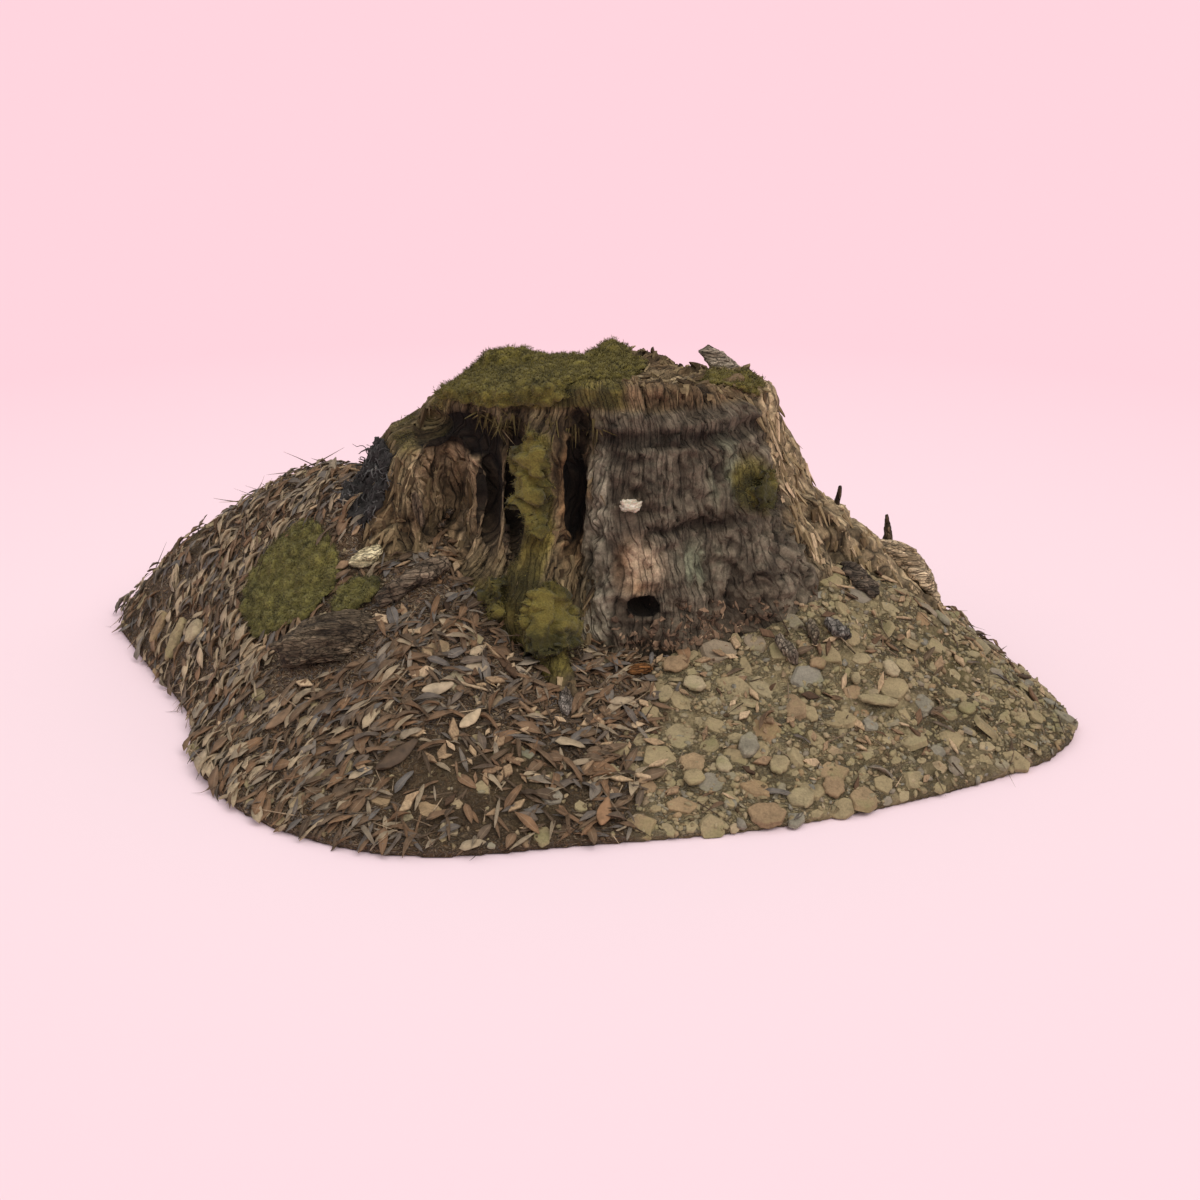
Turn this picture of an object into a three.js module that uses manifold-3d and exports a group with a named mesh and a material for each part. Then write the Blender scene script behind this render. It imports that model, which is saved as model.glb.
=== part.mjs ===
// A decayed tree stump standing in the mound of woodland ground that it grew in, with the moss,
// loose wood, stones, fallen leaves and twigs that lie on it.
// Millimetres, +Z up. The origin is the middle of the flat underside. The best-preserved face,
// a slab of dark bark, looks along -Y.
import * as THREE from "three";
import { ImprovedNoise } from "three/addons/math/ImprovedNoise.js";
import { mergeVertices } from "three/addons/utils/BufferGeometryUtils.js";
import Module from "manifold-3d";

const wasm = await Module();
wasm.setup();

// ---------------------------------------------------------------- driving dimensions

const CLEARANCE = 0.6; // gap between pieces that touch

// The patch of ground, anticlockwise from its blunt right-hand tip.
const GROUND_OUTLINE = [
  [1375, -290], [1300, 120], [1080, 560], [700, 880], [180, 1028], [-420, 1005],
  [-960, 890], [-1330, 740], [-1375, 560], [-1185, 130], [-1010, -210], [-940, -520],
  [-720, -850], [-360, -1030], [60, -975], [560, -870], [1060, -635], [1310, -450],
];
const RIM_THICKNESS = 22;
const GROUND_RELIEF = { up: 26, grain: 210, fadeIn: 0.25 };

// The trunk stands off the middle of the ground. Its cut top is an ellipse, and so is its foot.
const TRUNK = { x: 105, y: 11 };
const TOP = { halfWidth: 440, halfDepth: 285, height: 905 };
const FOOT = { halfWidth: 735, halfDepth: 385, height: 300 };
const TAPER = 1.2; // above 1, the trunk widens faster towards its foot
const FLUTES = { out: 14, round: 4.2, grain: 420 };

// The cut top: its height in the middle, how much it falls to the sides and to the back, its
// roughness, and how far its rim is worn down.
const DOME = { height: 910, sideFall: 52, tilt: 0.02, backFall: 0.12 };
const TOP_ROUGHNESS = { up: 14, grain: 90 };
const RIM_WEAR = 12;

// How high the ground stands against the trunk, and how far out it stays high, by direction in degrees.
const GROUND_AT_TRUNK = [
  { at: 0, height: 430, reach: 680, fall: 1.0 },
  { at: 40, height: 430, reach: 580, fall: 1.3 },
  { at: 90, height: 450, reach: 440, fall: 1.4 },
  { at: 135, height: 530, reach: 600, fall: 1.5 },
  { at: 163, height: 590, reach: 690, fall: 1.7 },
  { at: 183, height: 590, reach: 660, fall: 1.35 },
  { at: 203, height: 470, reach: 540, fall: 1.2 },
  { at: 225, height: 400, reach: 480, fall: 1.1 },
  { at: 245, height: 310, reach: 430, fall: 1.1 },
  { at: 270, height: 290, reach: 360, fall: 1.1 },
  { at: 305, height: 300, reach: 420, fall: 1.1 },
  { at: 335, height: 370, reach: 620, fall: 1.05 },
];

// Ribs and grooves of the rotted trunk: where they are round the trunk and up it, and how far they
// stand out (or, if negative, are eaten in).
const TRUNK_FEATURES = [
  { name: "eaten left front", at: 217, spread: 20, low: 430, high: 830, out: -75 },
  { name: "post", at: 196, spread: 6, low: 380, high: 765, out: 70 },
  { name: "left shoulder", at: 177, spread: 14, low: 500, high: 790, out: 80 },
  { name: "mossy rib", at: 243, spread: 8, low: 250, high: 870, out: 55 },
  { name: "crevice", at: 261, spread: 6, low: 360, high: 860, out: -60 },
  { name: "bark slab", at: 303, spread: 35, low: 0, high: 858, out: 42 },
  { name: "slab fold", at: 313, spread: 4, low: 260, high: 640, out: -26 },
  { name: "slab bulge", at: 331, spread: 8, low: 260, high: 560, out: 34 },
  { name: "right flank groove", at: 352, spread: 5, low: 400, high: 850, out: -34 },
  { name: "right rib", at: 4, spread: 7, low: 300, high: 760, out: 14 },
  { name: "back hollow", at: 75, spread: 20, low: 520, high: 850, out: -50 },
  { name: "back rib", at: 108, spread: 11, low: 200, high: 800, out: 55 },
  { name: "back left groove", at: 140, spread: 7, low: 420, high: 840, out: -55 },
  { name: "back right rib", at: 45, spread: 12, low: 0, high: 700, out: 50 },
];
const FEATURE_EDGE = 55; // how gently a rib or groove starts and ends

// Holes rotted into the trunk: middle and half-sizes. The columns left between them stay standing.
const CAVES = [
  { name: "great hollow", at: [-300, -215, 620], half: [95, 170, 175], detail: 2 },
  { name: "black hole", at: [-350, -150, 790], half: [60, 170, 42], detail: 1 },
  { name: "wide slot", at: [-186, -265, 640], half: [26, 130, 155], detail: 1 },
  { name: "narrow slot", at: [-118, -285, 645], half: [24, 130, 160], detail: 1 },
  { name: "crevice", at: [38, -325, 650], half: [34, 110, 220], detail: 1 },
  { name: "slab recess", at: [222, -425, 490], half: [66, 62, 82], detail: 1 },
  { name: "recess hole", at: [218, -430, 388], half: [42, 95, 24], detail: 1 },
  { name: "back hollow", at: [130, 330, 690], half: [105, 120, 140], detail: 2 },
];

// Roots that run out from the foot: the points of their middle line and their radius at each.
const ROOTS = [
  {
    name: "front mossy root",
    line: [[-60, -250, 560], [-62, -345, 410], [-35, -430, 290], [10, -520, 205], [40, -620, 130]],
    radii: [75, 78, 62, 44, 18],
  },
  {
    name: "right root",
    line: [[520, 20, 590], [640, 25, 500], [735, 30, 420], [860, 32, 310], [1000, 10, 215], [1130, -40, 110]],
    radii: [110, 108, 104, 78, 56, 20],
  },
  {
    name: "back root",
    line: [[130, 250, 470], [220, 420, 360], [330, 600, 240], [420, 760, 130]],
    radii: [105, 88, 60, 18],
  },
  {
    name: "back left root",
    line: [[-250, 180, 560], [-420, 330, 500], [-560, 450, 420], [-690, 560, 330]],
    radii: [105, 84, 56, 16],
  },
];

// Lumps and worn places on the cut top, from the trunk's axis.
const TOP_FEATURES = [
  { name: "back left block", x: -245, y: 200, wide: 125, deep: 50, up: 44 },
  { name: "back lump", x: 55, y: 190, wide: 75, deep: 60, up: 45 },
  { name: "small lump", x: 150, y: 160, wide: 45, deep: 45, up: 30 },
  { name: "worn middle", x: 170, y: -60, wide: 130, deep: 110, up: -45 },
  { name: "right knob", x: 330, y: -40, wide: 75, deep: 70, up: 25 },
];

// Moss and fine roots lie on the wood and the ground as layers: the middle, half-sizes and turn
// about Z of the region that each one covers.
const LAYER_THICKNESS = 20;
const LAYERS = [
  { name: "moss_cap_top", at: [-85, 45, 912], half: [305, 345, 74], turn: -12, color: 0x5d6130 },
  { name: "moss_knob_right", at: [448, -70, 882], half: [86, 74, 58], turn: 10, color: 0x5a5a31 },
  { name: "moss_rib_front", at: [-62, -330, 690], half: [42, 75, 165], turn: 0, color: 0x5f6336 },
  { name: "moss_root_front", at: [-25, -440, 360], half: [72, 95, 125], turn: 0, color: 0x565a2c },
  { name: "moss_patch_left_front", at: [-155, -345, 390], half: [42, 60, 80], turn: 0, color: 0x575a2d },
  { name: "moss_flank_right", at: [520, -225, 650], half: [38, 70, 68], turn: 0, color: 0x5d6634 },
  { name: "moss_bank_left", at: [-740, -135, 380], half: [168, 165, 185], turn: 35, color: 0x57612e },
  { name: "moss_lobe_left", at: [-515, -275, 370], half: [95, 55, 60], turn: 15, color: 0x5b6030 },
  { name: "rootlet_mat_left", at: [-520, -70, 640], half: [85, 120, 135], turn: 0, color: 0x3f3a33 },
];

// Broken wood and bark that lies or stands on the ground: place, turn, length, width, thickness,
// and how many degrees its far end is tipped up.
const WOOD_PIECES = [
  { name: "wood_slab_left", at: [-508, -182], turn: 20, size: [112, 62, 30], tip: 0, color: 0x9a8a66 },
  { name: "bark_plate_right", at: [800, -140], turn: -38, size: [165, 78, 18], tip: 0, color: 0x4b3f37 },
  { name: "weathered_chip_front", at: [17, -585], turn: -86, size: [105, 40, 16], tip: 0, color: 0x877d74 },
  { name: "bark_chunk_foot_1", at: [588, -410], turn: -60, size: [110, 38, 34], tip: 28, color: 0x3f372f },
  { name: "bark_chunk_foot_2", at: [655, -372], turn: -72, size: [84, 34, 28], tip: 22, color: 0x4a4138 },
  { name: "bark_chunk_foot_3", at: [722, -352], turn: -40, size: [96, 46, 30], tip: 14, color: 0x61605e },
  { name: "orange_chip_foot", at: [205, -462], turn: 12, size: [78, 34, 20], tip: 8, color: 0x8c5f38 },
];

// Flat stones: place, turn, and length, width and thickness.
const STONES = [
  { at: [300, -452], turn: 5, size: [82, 60, 16], color: 0x6f6d4a },
  { at: [345, -515], turn: -20, size: [70, 50, 14], color: 0x6d685a },
  { at: [270, -545], turn: 60, size: [66, 48, 13], color: 0x75704c },
  { at: [664, -440], turn: 0, size: [50, 40, 15], color: 0x827852 },
  { at: [857, -405], turn: -50, size: [66, 50, 14], color: 0x706a49 },
  { at: [760, -455], turn: 80, size: [46, 30, 13], color: 0x7f7855 },
  { at: [812, -500], turn: 4, size: [118, 36, 13], color: 0x6c6846 },
  { at: [633, -565], turn: -55, size: [70, 44, 12], color: 0x676850 },
  { at: [470, -698], turn: 78, size: [88, 60, 15], color: 0x7d5f42 },
  { at: [543, -738], turn: 60, size: [72, 56, 15], color: 0x7c7850 },
  { at: [592, -812], turn: 20, size: [82, 66, 14], color: 0x6b6d55 },
  { at: [405, -752], turn: -70, size: [58, 46, 13], color: 0x68696a },
  { at: [335, -790], turn: 30, size: [62, 54, 13], color: 0x77724d },
  { at: [505, -868], turn: 6, size: [112, 74, 13], color: 0x8b7354 },
  { at: [675, -765], turn: 70, size: [76, 62, 14], color: 0x86705a },
  { at: [1053, -440], turn: 25, size: [58, 46, 14], color: 0x86805f },
  { at: [1034, -100], turn: -35, size: [62, 36, 16], color: 0x8a8158 },
  { at: [-1023, 15], turn: 30, size: [86, 66, 22], color: 0x99937a },
  { at: [-1090, 75], turn: 42, size: [150, 52, 20], color: 0x9d9678 },
  { at: [-1165, 205], turn: 40, size: [120, 44, 18], color: 0x948e76 },
];

// The largest dead leaves: place, turn, length, width, and how much they curl up along their length.
const LEAVES = [
  { name: "leaf_dark_front", at: [-386, -766], turn: 35, size: [128, 52], curl: 10, color: 0x3d332f },
  { name: "leaf_pale_front", at: [-215, -680], turn: 55, size: [82, 36], curl: 12, color: 0x9a7f5c },
  { name: "leaf_tan_middle", at: [-300, -592], turn: 20, size: [84, 40], curl: 9, color: 0x8c6c4a },
  { name: "leaf_brown_left", at: [-700, -560], turn: 40, size: [92, 34], curl: 11, color: 0x6f4c30 },
  { name: "leaf_grey_left", at: [-860, -380], turn: 55, size: [88, 30], curl: 8, color: 0x6d665f },
  { name: "leaf_orange_front", at: [115, -905], turn: 80, size: [90, 40], curl: 10, color: 0x93673d },
];

// Twigs: where each one passes over the ground, and its thickness.
const TWIGS = [
  { name: "twig_curved_far_left", passes: [[-1045, 165], [-985, 60], [-975, -40], [-1005, -95]], radius: 5 },
  { name: "twig_pale_left", passes: [[-960, -175], [-890, -235], [-820, -300], [-745, -325]], radius: 4.5 },
  { name: "twig_middle_front", passes: [[-250, -575], [-170, -585], [-120, -600], [-85, -640]], radius: 4 },
  { name: "twig_low_front", passes: [[-235, -720], [-185, -775], [-135, -835], [-55, -890]], radius: 5 },
  { name: "twig_lower_left", passes: [[-640, -690], [-590, -735], [-560, -745], [-520, -790]], radius: 4.5 },
];

// The grey wedge of heartwood that stands up at the right of the top: its side view, thickness,
// worn edge, the middle that it is laid at and how steeply it falls.
const SPLINTER = {
  side: [[-98, -14], [-84, 20], [-40, 26], [60, 14], [102, -8], [84, -22], [-30, -24]],
  depth: 46, wear: 6, at: [452, 62, 908], fall: 36,
};

// Rounded loose wood: the points of each one's middle line and its radius at each.
const ROTTEN_SLAB = {
  line: [[800, 62, 398], [880, 66, 388], [955, 62, 362], [1003, 50, 304], [1048, 34, 228]],
  radii: [22, 36, 42, 36, 18],
};
const FALLEN_BRANCH = {
  line: [[-472, -345, 384], [-425, -330, 412], [-360, -300, 446], [-296, -262, 470]],
  radii: [17, 27, 30, 22],
};
const STANDING_PEG = { line: [[914, 132, 360], [913, 130, 425], [905, 126, 475]], radii: [15, 13, 5] };
const SMALL_PEG = { line: [[742, 20, 505], [755, 12, 560], [758, 8, 592]], radii: [9, 9, 5] };

// The old root stub at the left front, and the hollow under its lower side.
const ROOT_STUB = { at: [-570, -385, 285], half: [165, 88, 82], turn: 18 };
const STUB_HOLLOW = { at: [-600, -500, 235], half: [100, 62, 52], turn: 12 };

const LEANING_CHIP = { size: [112, 34, 7], lean: 78, at: [-372, -196, 590] };
const BRACKET_FUNGUS = { at: [184, -350, 648], half: [31, 26, 15], turn: 8 };

const LEAF_THICKNESS = 3;
const LEAF_LIFT = 3;

// How lumpy each kind of rounded piece is, as a share of its radius.
const LUMPS = { blob: 0.16, limb: 0.12, branch: 0.18, rotten: 0.22, stub: 0.3, fungus: 0.3 };

// ---------------------------------------------------------------- small helpers

const degrees = THREE.MathUtils.radToDeg;
const radians = THREE.MathUtils.degToRad;
const { lerp, smoothstep } = THREE.MathUtils;
const noise = new ImprovedNoise();

// The shortest turn between two directions, in degrees.
function turnBetween(a, b) {
  return Math.abs(((a - b + 540) % 360) - 180);
}

function ellipseRadius(halfWidth, halfDepth, angle) {
  return (halfWidth * halfDepth) / Math.hypot(halfDepth * Math.cos(angle), halfWidth * Math.sin(angle));
}

// A closed, seamless solid from a three.js geometry.
function solidOf(geometry) {
  const bare = geometry.clone();
  bare.deleteAttribute("normal");
  bare.deleteAttribute("uv");
  const merged = mergeVertices(bare, 1e-3);
  const mesh = new wasm.Mesh({
    numProp: 3,
    vertProperties: new Float32Array(merged.attributes.position.array),
    triVerts: new Uint32Array(merged.index.array),
  });
  return new wasm.Manifold(mesh);
}

function geometryOf(solid) {
  const { vertProperties, triVerts } = solid.getMesh();
  const geometry = new THREE.BufferGeometry();
  geometry.setAttribute("position", new THREE.BufferAttribute(new Float32Array(vertProperties), 3));
  geometry.setIndex(new THREE.BufferAttribute(new Uint32Array(triVerts), 1));
  return geometry.toNonIndexed();
}

// The largest of the pieces that a cut leaves.
function largest(solid) {
  return solid.decompose().reduce((a, b) => (b.volume() > a.volume() ? b : a));
}

// Moves every vertex of a geometry to where place() puts it.
function reshape(geometry, place) {
  const position = geometry.attributes.position;
  const point = new THREE.Vector3();
  for (let i = 0; i < position.count; i++) {
    point.fromBufferAttribute(position, i);
    place(point);
    position.setXYZ(i, point.x, point.y, point.z);
  }
  return geometry;
}

// A lathed disc of radius 1: its underside is at y = 0 and its upper side at y = 1, with the given
// rings of vertices from the rim in to the middle.
function unitDisc(rings, segments) {
  const profile = [new THREE.Vector2(0, 0), new THREE.Vector2(1, 0)];
  rings.forEach((ring) => profile.push(new THREE.Vector2(ring, 1)));
  return new THREE.LatheGeometry(profile, segments);
}

// A rounded, slightly lumpy solid with the given half-sizes. Its turn is about Z, in degrees.
function blob([x, y, z], [halfX, halfY, halfZ], detail = 2, turn = 0, lumps = LUMPS.blob) {
  const ball = new THREE.IcosahedronGeometry(1, detail);
  const seed = x * 0.013 + y * 0.017;
  const grain = 2.1;
  reshape(ball, (p) => {
    const lump = noise.noise(p.x * grain + seed, p.y * grain, p.z * grain);
    p.multiplyScalar(1 + lumps * lump);
  });
  ball.scale(halfX, halfY, halfZ).rotateZ(radians(turn)).translate(x, y, z);
  return solidOf(ball);
}

// A round limb along a smooth line, with its own radius at each listed point.
function limb(line, radii, sides, steps, lumps = LUMPS.limb) {
  const grain = 1.7;
  const stride = 70;
  const curve = new THREE.CatmullRomCurve3(line.map((p) => new THREE.Vector3(...p)));
  const { normals, binormals } = curve.computeFrenetFrames(steps);
  return solidOf(reshape(new THREE.CylinderGeometry(1, 1, 1, sides, steps), (p) => {
    const along = p.y + 0.5;
    const step = Math.round(along * steps);
    const place = along * (radii.length - 1);
    const before = Math.min(Math.floor(place), radii.length - 2);
    const middle = curve.getPointAt(along);
    const lump = noise.noise(
      p.x * grain + middle.x / stride, middle.y / stride, p.z * grain + middle.z / stride,
    );
    const radius = lerp(radii[before], radii[before + 1], place - before) * (1 + lumps * lump);
    p.set(
      middle.x + radius * (p.x * binormals[step].x + p.z * normals[step].x),
      middle.y + radius * (p.x * binormals[step].y + p.z * normals[step].y),
      middle.z + radius * (p.x * binormals[step].z + p.z * normals[step].z),
    );
  }));
}

// ---------------------------------------------------------------- the ground

const outlineCurve = new THREE.CatmullRomCurve3(
  GROUND_OUTLINE.map(([x, y]) => new THREE.Vector3(x - TRUNK.x, y - TRUNK.y, 0)), true, "centripetal",
);
const outlinePolar = outlineCurve.getPoints(360)
  .map((p) => ({ angle: (degrees(Math.atan2(p.y, p.x)) + 360) % 360, distance: Math.hypot(p.x, p.y) }))
  .sort((a, b) => a.angle - b.angle);

// How far the ground's edge is from the trunk's axis.
function rimDistance(angle) {
  const after = outlinePolar.findIndex((p) => p.angle > angle);
  const b = outlinePolar[after === -1 ? 0 : after];
  const a = outlinePolar.at(after - 1);
  const gap = (b.angle - a.angle + 360) % 360 || 1;
  return lerp(a.distance, b.distance, ((angle - a.angle + 360) % 360) / gap);
}

// The ground's height and reach against the trunk, smoothly between the listed directions.
function groundAtTrunk(angle) {
  const rows = GROUND_AT_TRUNK;
  const next = rows.findIndex((row) => row.at > angle);
  const b = rows[next === -1 ? 0 : next];
  const a = rows.at(next - 1);
  const gap = (b.at - a.at + 360) % 360;
  const t = smoothstep(((angle - a.at + 360) % 360) / gap, 0, 1);
  return {
    height: lerp(a.height, b.height, t), reach: lerp(a.reach, b.reach, t), fall: lerp(a.fall, b.fall, t),
  };
}

// The ground's height at a distance and direction from the trunk's axis.
function groundHeight(angle, distance) {
  const { height, reach, fall } = groundAtTrunk(angle);
  const rim = rimDistance(angle);
  const out = THREE.MathUtils.clamp((distance - reach) / (rim - reach), 0, 1);
  const slope = 1 - out ** fall;
  const x = distance * Math.cos(radians(angle));
  const y = distance * Math.sin(radians(angle));
  const { up, grain, fadeIn } = GROUND_RELIEF;
  const relief = up * noise.noise(x / grain, y / grain, 3.7) * smoothstep(1 - out, 0, fadeIn);
  return RIM_THICKNESS + (height - RIM_THICKNESS) * slope + relief;
}

const GROUND_RINGS = [1, 0.96, 0.89, 0.81, 0.73, 0.65, 0.57, 0.49, 0.41, 0.33, 0.2, 0];
const GROUND_SEGMENTS = 54;

function groundSolid(raise = 0) {
  const disc = unitDisc(GROUND_RINGS, GROUND_SEGMENTS);
  return solidOf(reshape(disc, (p) => {
    const ring = Math.hypot(p.x, p.z);
    const angle = ring > 0 ? (degrees(Math.atan2(-p.z, p.x)) + 360) % 360 : 0;
    const distance = ring * rimDistance(angle);
    const upper = p.y > 0.5;
    p.set(
      TRUNK.x + distance * Math.cos(radians(angle)),
      TRUNK.y + distance * Math.sin(radians(angle)),
      upper ? groundHeight(angle, distance) + raise : 0,
    );
  }));
}

// ---------------------------------------------------------------- the stump

// How far a listed rib or hollow moves the trunk's side at an angle and height.
function featureOffset(feature, angle, z) {
  const { at, spread, low, high, out } = feature;
  const across = turnBetween(angle, at) / spread;
  if (across > 1.6) return 0;
  const round = Math.exp(-1.4 * across ** 4);
  const begun = smoothstep(z, low - FEATURE_EDGE, low + FEATURE_EDGE);
  const ended = smoothstep(z, high - FEATURE_EDGE, high + 0.4 * FEATURE_EDGE);
  return out * round * begun * (1 - ended);
}

function trunkRadius(angle, z) {
  const turn = radians(angle);
  const down = THREE.MathUtils.clamp((TOP.height - z) / (TOP.height - FOOT.height), 0, 1);
  const top = ellipseRadius(TOP.halfWidth, TOP.halfDepth, turn);
  const foot = ellipseRadius(FOOT.halfWidth, FOOT.halfDepth, turn);
  const features = TRUNK_FEATURES.reduce((sum, f) => sum + featureOffset(f, angle, z), 0);
  const { out, round, grain } = FLUTES;
  const flutes = out * noise.noise(round * Math.cos(turn) + 9, round * Math.sin(turn), z / grain);
  return lerp(top, foot, down ** TAPER) + features + flutes * (0.4 + down);
}

// The height of the weathered top at a place measured from the trunk's axis.
function topHeight(x, y) {
  const { height, sideFall, tilt, backFall } = DOME;
  const dome = height - sideFall * (x / TOP.halfWidth) ** 2 + tilt * x - backFall * y;
  const lumps = TOP_FEATURES.reduce((sum, f) => {
    const away = Math.hypot((x - f.x) / f.wide, (y - f.y) / f.deep);
    return sum + f.up * Math.exp(-(away ** 4));
  }, 0);
  const { up, grain } = TOP_ROUGHNESS;
  return dome + lumps + up * noise.noise(x / grain, y / grain, 8.3);
}

const LOWEST_LEVEL = 0.28; // below this share of its height the trunk is buried and plain
const TRUNK_LEVELS = 14;
const TRUNK_SEGMENTS = 72;
const TOP_RINGS = [0.88, 0.66, 0.42, 0.2, 0];

function trunkSolid(grow = 0) {
  const profile = [new THREE.Vector2(0, 0), new THREE.Vector2(1, 0)];
  for (let i = 0; i <= TRUNK_LEVELS; i++) {
    profile.push(new THREE.Vector2(1, lerp(LOWEST_LEVEL, 1, i / TRUNK_LEVELS)));
  }
  TOP_RINGS.forEach((ring) => profile.push(new THREE.Vector2(ring, 2)));
  const lathe = new THREE.LatheGeometry(profile, TRUNK_SEGMENTS);
  return solidOf(reshape(lathe, (p) => {
    const turn = Math.atan2(-p.z, p.x);
    const angle = (degrees(turn) + 360) % 360;
    const ring = Math.hypot(p.x, p.z);
    const onTop = p.y > 1.5;
    const edge = trunkRadius(angle, TOP.height);
    const rim = topHeight(edge * Math.cos(turn), edge * Math.sin(turn)) - RIM_WEAR;
    const z = onTop ? 0 : p.y * rim;
    const radius = (onTop ? ring * edge : ring * trunkRadius(angle, z)) + (ring > 0 ? grow : 0);
    const x = radius * Math.cos(turn);
    const y = radius * Math.sin(turn);
    p.set(TRUNK.x + x, TRUNK.y + y, onTop ? topHeight(x, y) + grow : z + (p.y === 1 ? grow : 0));
  }));
}

// The whole stump: the trunk, with its roots joined on and its holes cut out.
function stumpSolid(grow = 0) {
  const roots = ROOTS.map(({ line, radii }) => limb(line, radii.map((r) => r + grow), 8, 8));
  const whole = roots.reduce((sum, root) => sum.add(root), trunkSolid(grow));
  const holes = CAVES.map(({ at, half, detail }) => blob(at, half.map((h) => Math.max(h - grow, 1)), detail));
  return largest(holes.reduce((sum, hole) => sum.subtract(hole), whole));
}

const ground = groundSolid();
const groundGrown = groundSolid(CLEARANCE);
const stump = stumpSolid();
const stumpGrown = stumpSolid(CLEARANCE);

// Cuts a piece back from the ground and the stump, so that it lies against them with a small gap.
function clearOfBoth(solid) {
  return largest(solid.subtract(groundGrown).subtract(stumpGrown));
}

// ---------------------------------------------------------------- pieces laid on the ground

const UP = new THREE.Vector3(0, 0, 1);
const ABOVE_ALL = 2000;
const groundSurface = new THREE.Mesh(geometryOf(ground));
const plumb = new THREE.Raycaster();

// Where a plumb line at x, y meets the ground, and the way that the ground faces there.
function groundAt([x, y]) {
  plumb.set(new THREE.Vector3(x, y, ABOVE_ALL), UP.clone().negate());
  const [hit] = plumb.intersectObject(groundSurface);
  return { point: hit.point, normal: hit.face.normal.clone() };
}

// Moves a geometry made round the origin onto the ground, its +Z along the ground's normal.
function layOnGround(geometry, at, turn = 0, tip = 0) {
  const { point, normal } = groundAt(at);
  geometry.rotateY(-radians(tip)).rotateZ(radians(turn));
  geometry.applyQuaternion(new THREE.Quaternion().setFromUnitVectors(UP, normal));
  return geometry.translate(point.x, point.y, point.z);
}

// A flat piece with an uneven, many-sided outline and a worn top edge, half sunk below z = 0.
function flatPiece([length, width, thickness], corners, unevenness = 0.14) {
  const points = [];
  for (let i = 0; i < corners; i++) {
    const turn = (2 * Math.PI * (i + 0.35 * THREE.MathUtils.seededRandom())) / corners;
    const reach = 1 - unevenness * THREE.MathUtils.seededRandom();
    const x = 0.5 * length * reach * Math.cos(turn);
    const y = 0.5 * width * reach * Math.sin(turn);
    points.push(new THREE.Vector2(x, y));
  }
  const wear = Math.min(0.3 * thickness, 0.12 * width);
  const flat = new THREE.ExtrudeGeometry(new THREE.Shape(points), {
    depth: 2 * thickness - 2 * wear,
    bevelThickness: wear,
    bevelSize: wear,
    bevelOffset: -wear,
    bevelSegments: 1,
  });
  return flat.translate(0, 0, wear - thickness);
}

// A dry leaf: pointed at both ends, cupped along its length.
function leafGeometry([length, width], curl) {
  const outline = new THREE.Shape();
  outline.moveTo(-0.5 * length, 0);
  outline.bezierCurveTo(-0.25 * length, 0.55 * width, 0.15 * length, 0.62 * width, 0.5 * length, 0);
  outline.bezierCurveTo(0.15 * length, -0.58 * width, -0.25 * length, -0.6 * width, -0.5 * length, 0);
  const settings = { depth: LEAF_THICKNESS, bevelEnabled: false, curveSegments: 7 };
  const leaf = new THREE.ExtrudeGeometry(outline, settings);
  return reshape(leaf, (p) => {
    p.z += LEAF_LIFT + curl * (2 * p.x / length) ** 2 + 0.5 * curl * (2 * p.y / width) ** 2;
  });
}

function twigSolid(passes, radius) {
  const line = passes.map((pass) => {
    const { point } = groundAt(pass);
    return [point.x, point.y, point.z + radius];
  });
  return limb(line, [radius, 0.9 * radius, 0.7 * radius, 0.45 * radius], 5, 8);
}

// ---------------------------------------------------------------- other pieces

// A moss cushion or root mat: what a thicker skin adds inside a rounded region.
const skinned = groundSolid(LAYER_THICKNESS).add(stumpSolid(LAYER_THICKNESS));
function layerSolid({ at, half, turn }) {
  return clearOfBoth(blob(at, half, 2, turn).intersect(skinned));
}

function splinterSolid() {
  const { side, depth, wear, at, fall } = SPLINTER;
  const outline = new THREE.Shape(side.map(([x, z]) => new THREE.Vector2(x, z)));
  const wedge = new THREE.ExtrudeGeometry(outline, {
    depth: depth - 2 * wear, bevelThickness: wear, bevelSize: 5, bevelOffset: -5, bevelSegments: 1,
  });
  wedge.rotateX(Math.PI / 2).rotateY(radians(fall)).translate(...at);
  return clearOfBoth(solidOf(wedge));
}

function rottenSlabSolid() {
  return clearOfBoth(limb(ROTTEN_SLAB.line, ROTTEN_SLAB.radii, 8, 8, LUMPS.rotten));
}

function fallenBranchSolid() {
  return clearOfBoth(limb(FALLEN_BRANCH.line, FALLEN_BRANCH.radii, 9, 8, LUMPS.branch));
}

function rootStubSolid() {
  const stub = blob(ROOT_STUB.at, ROOT_STUB.half, 2, ROOT_STUB.turn, LUMPS.stub);
  const hollow = blob(STUB_HOLLOW.at, STUB_HOLLOW.half, 2, STUB_HOLLOW.turn);
  return clearOfBoth(stub.subtract(hollow));
}

function leaningChipSolid() {
  const { size, lean, at } = LEANING_CHIP;
  const chip = flatPiece(size, 7);
  chip.rotateX(Math.PI / 2).rotateY(radians(lean)).translate(...at);
  return clearOfBoth(solidOf(chip));
}

function bracketFungusSolid() {
  return clearOfBoth(blob(BRACKET_FUNGUS.at, BRACKET_FUNGUS.half, 2, BRACKET_FUNGUS.turn, LUMPS.fungus));
}

// ---------------------------------------------------------------- the assembly

const WOOD_ROUGHNESS = 0.92;
const MOSS_ROUGHNESS = 1;
const STONE_ROUGHNESS = 0.85;
const LEAF_ROUGHNESS = 0.8;

const group = new THREE.Group();

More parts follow.
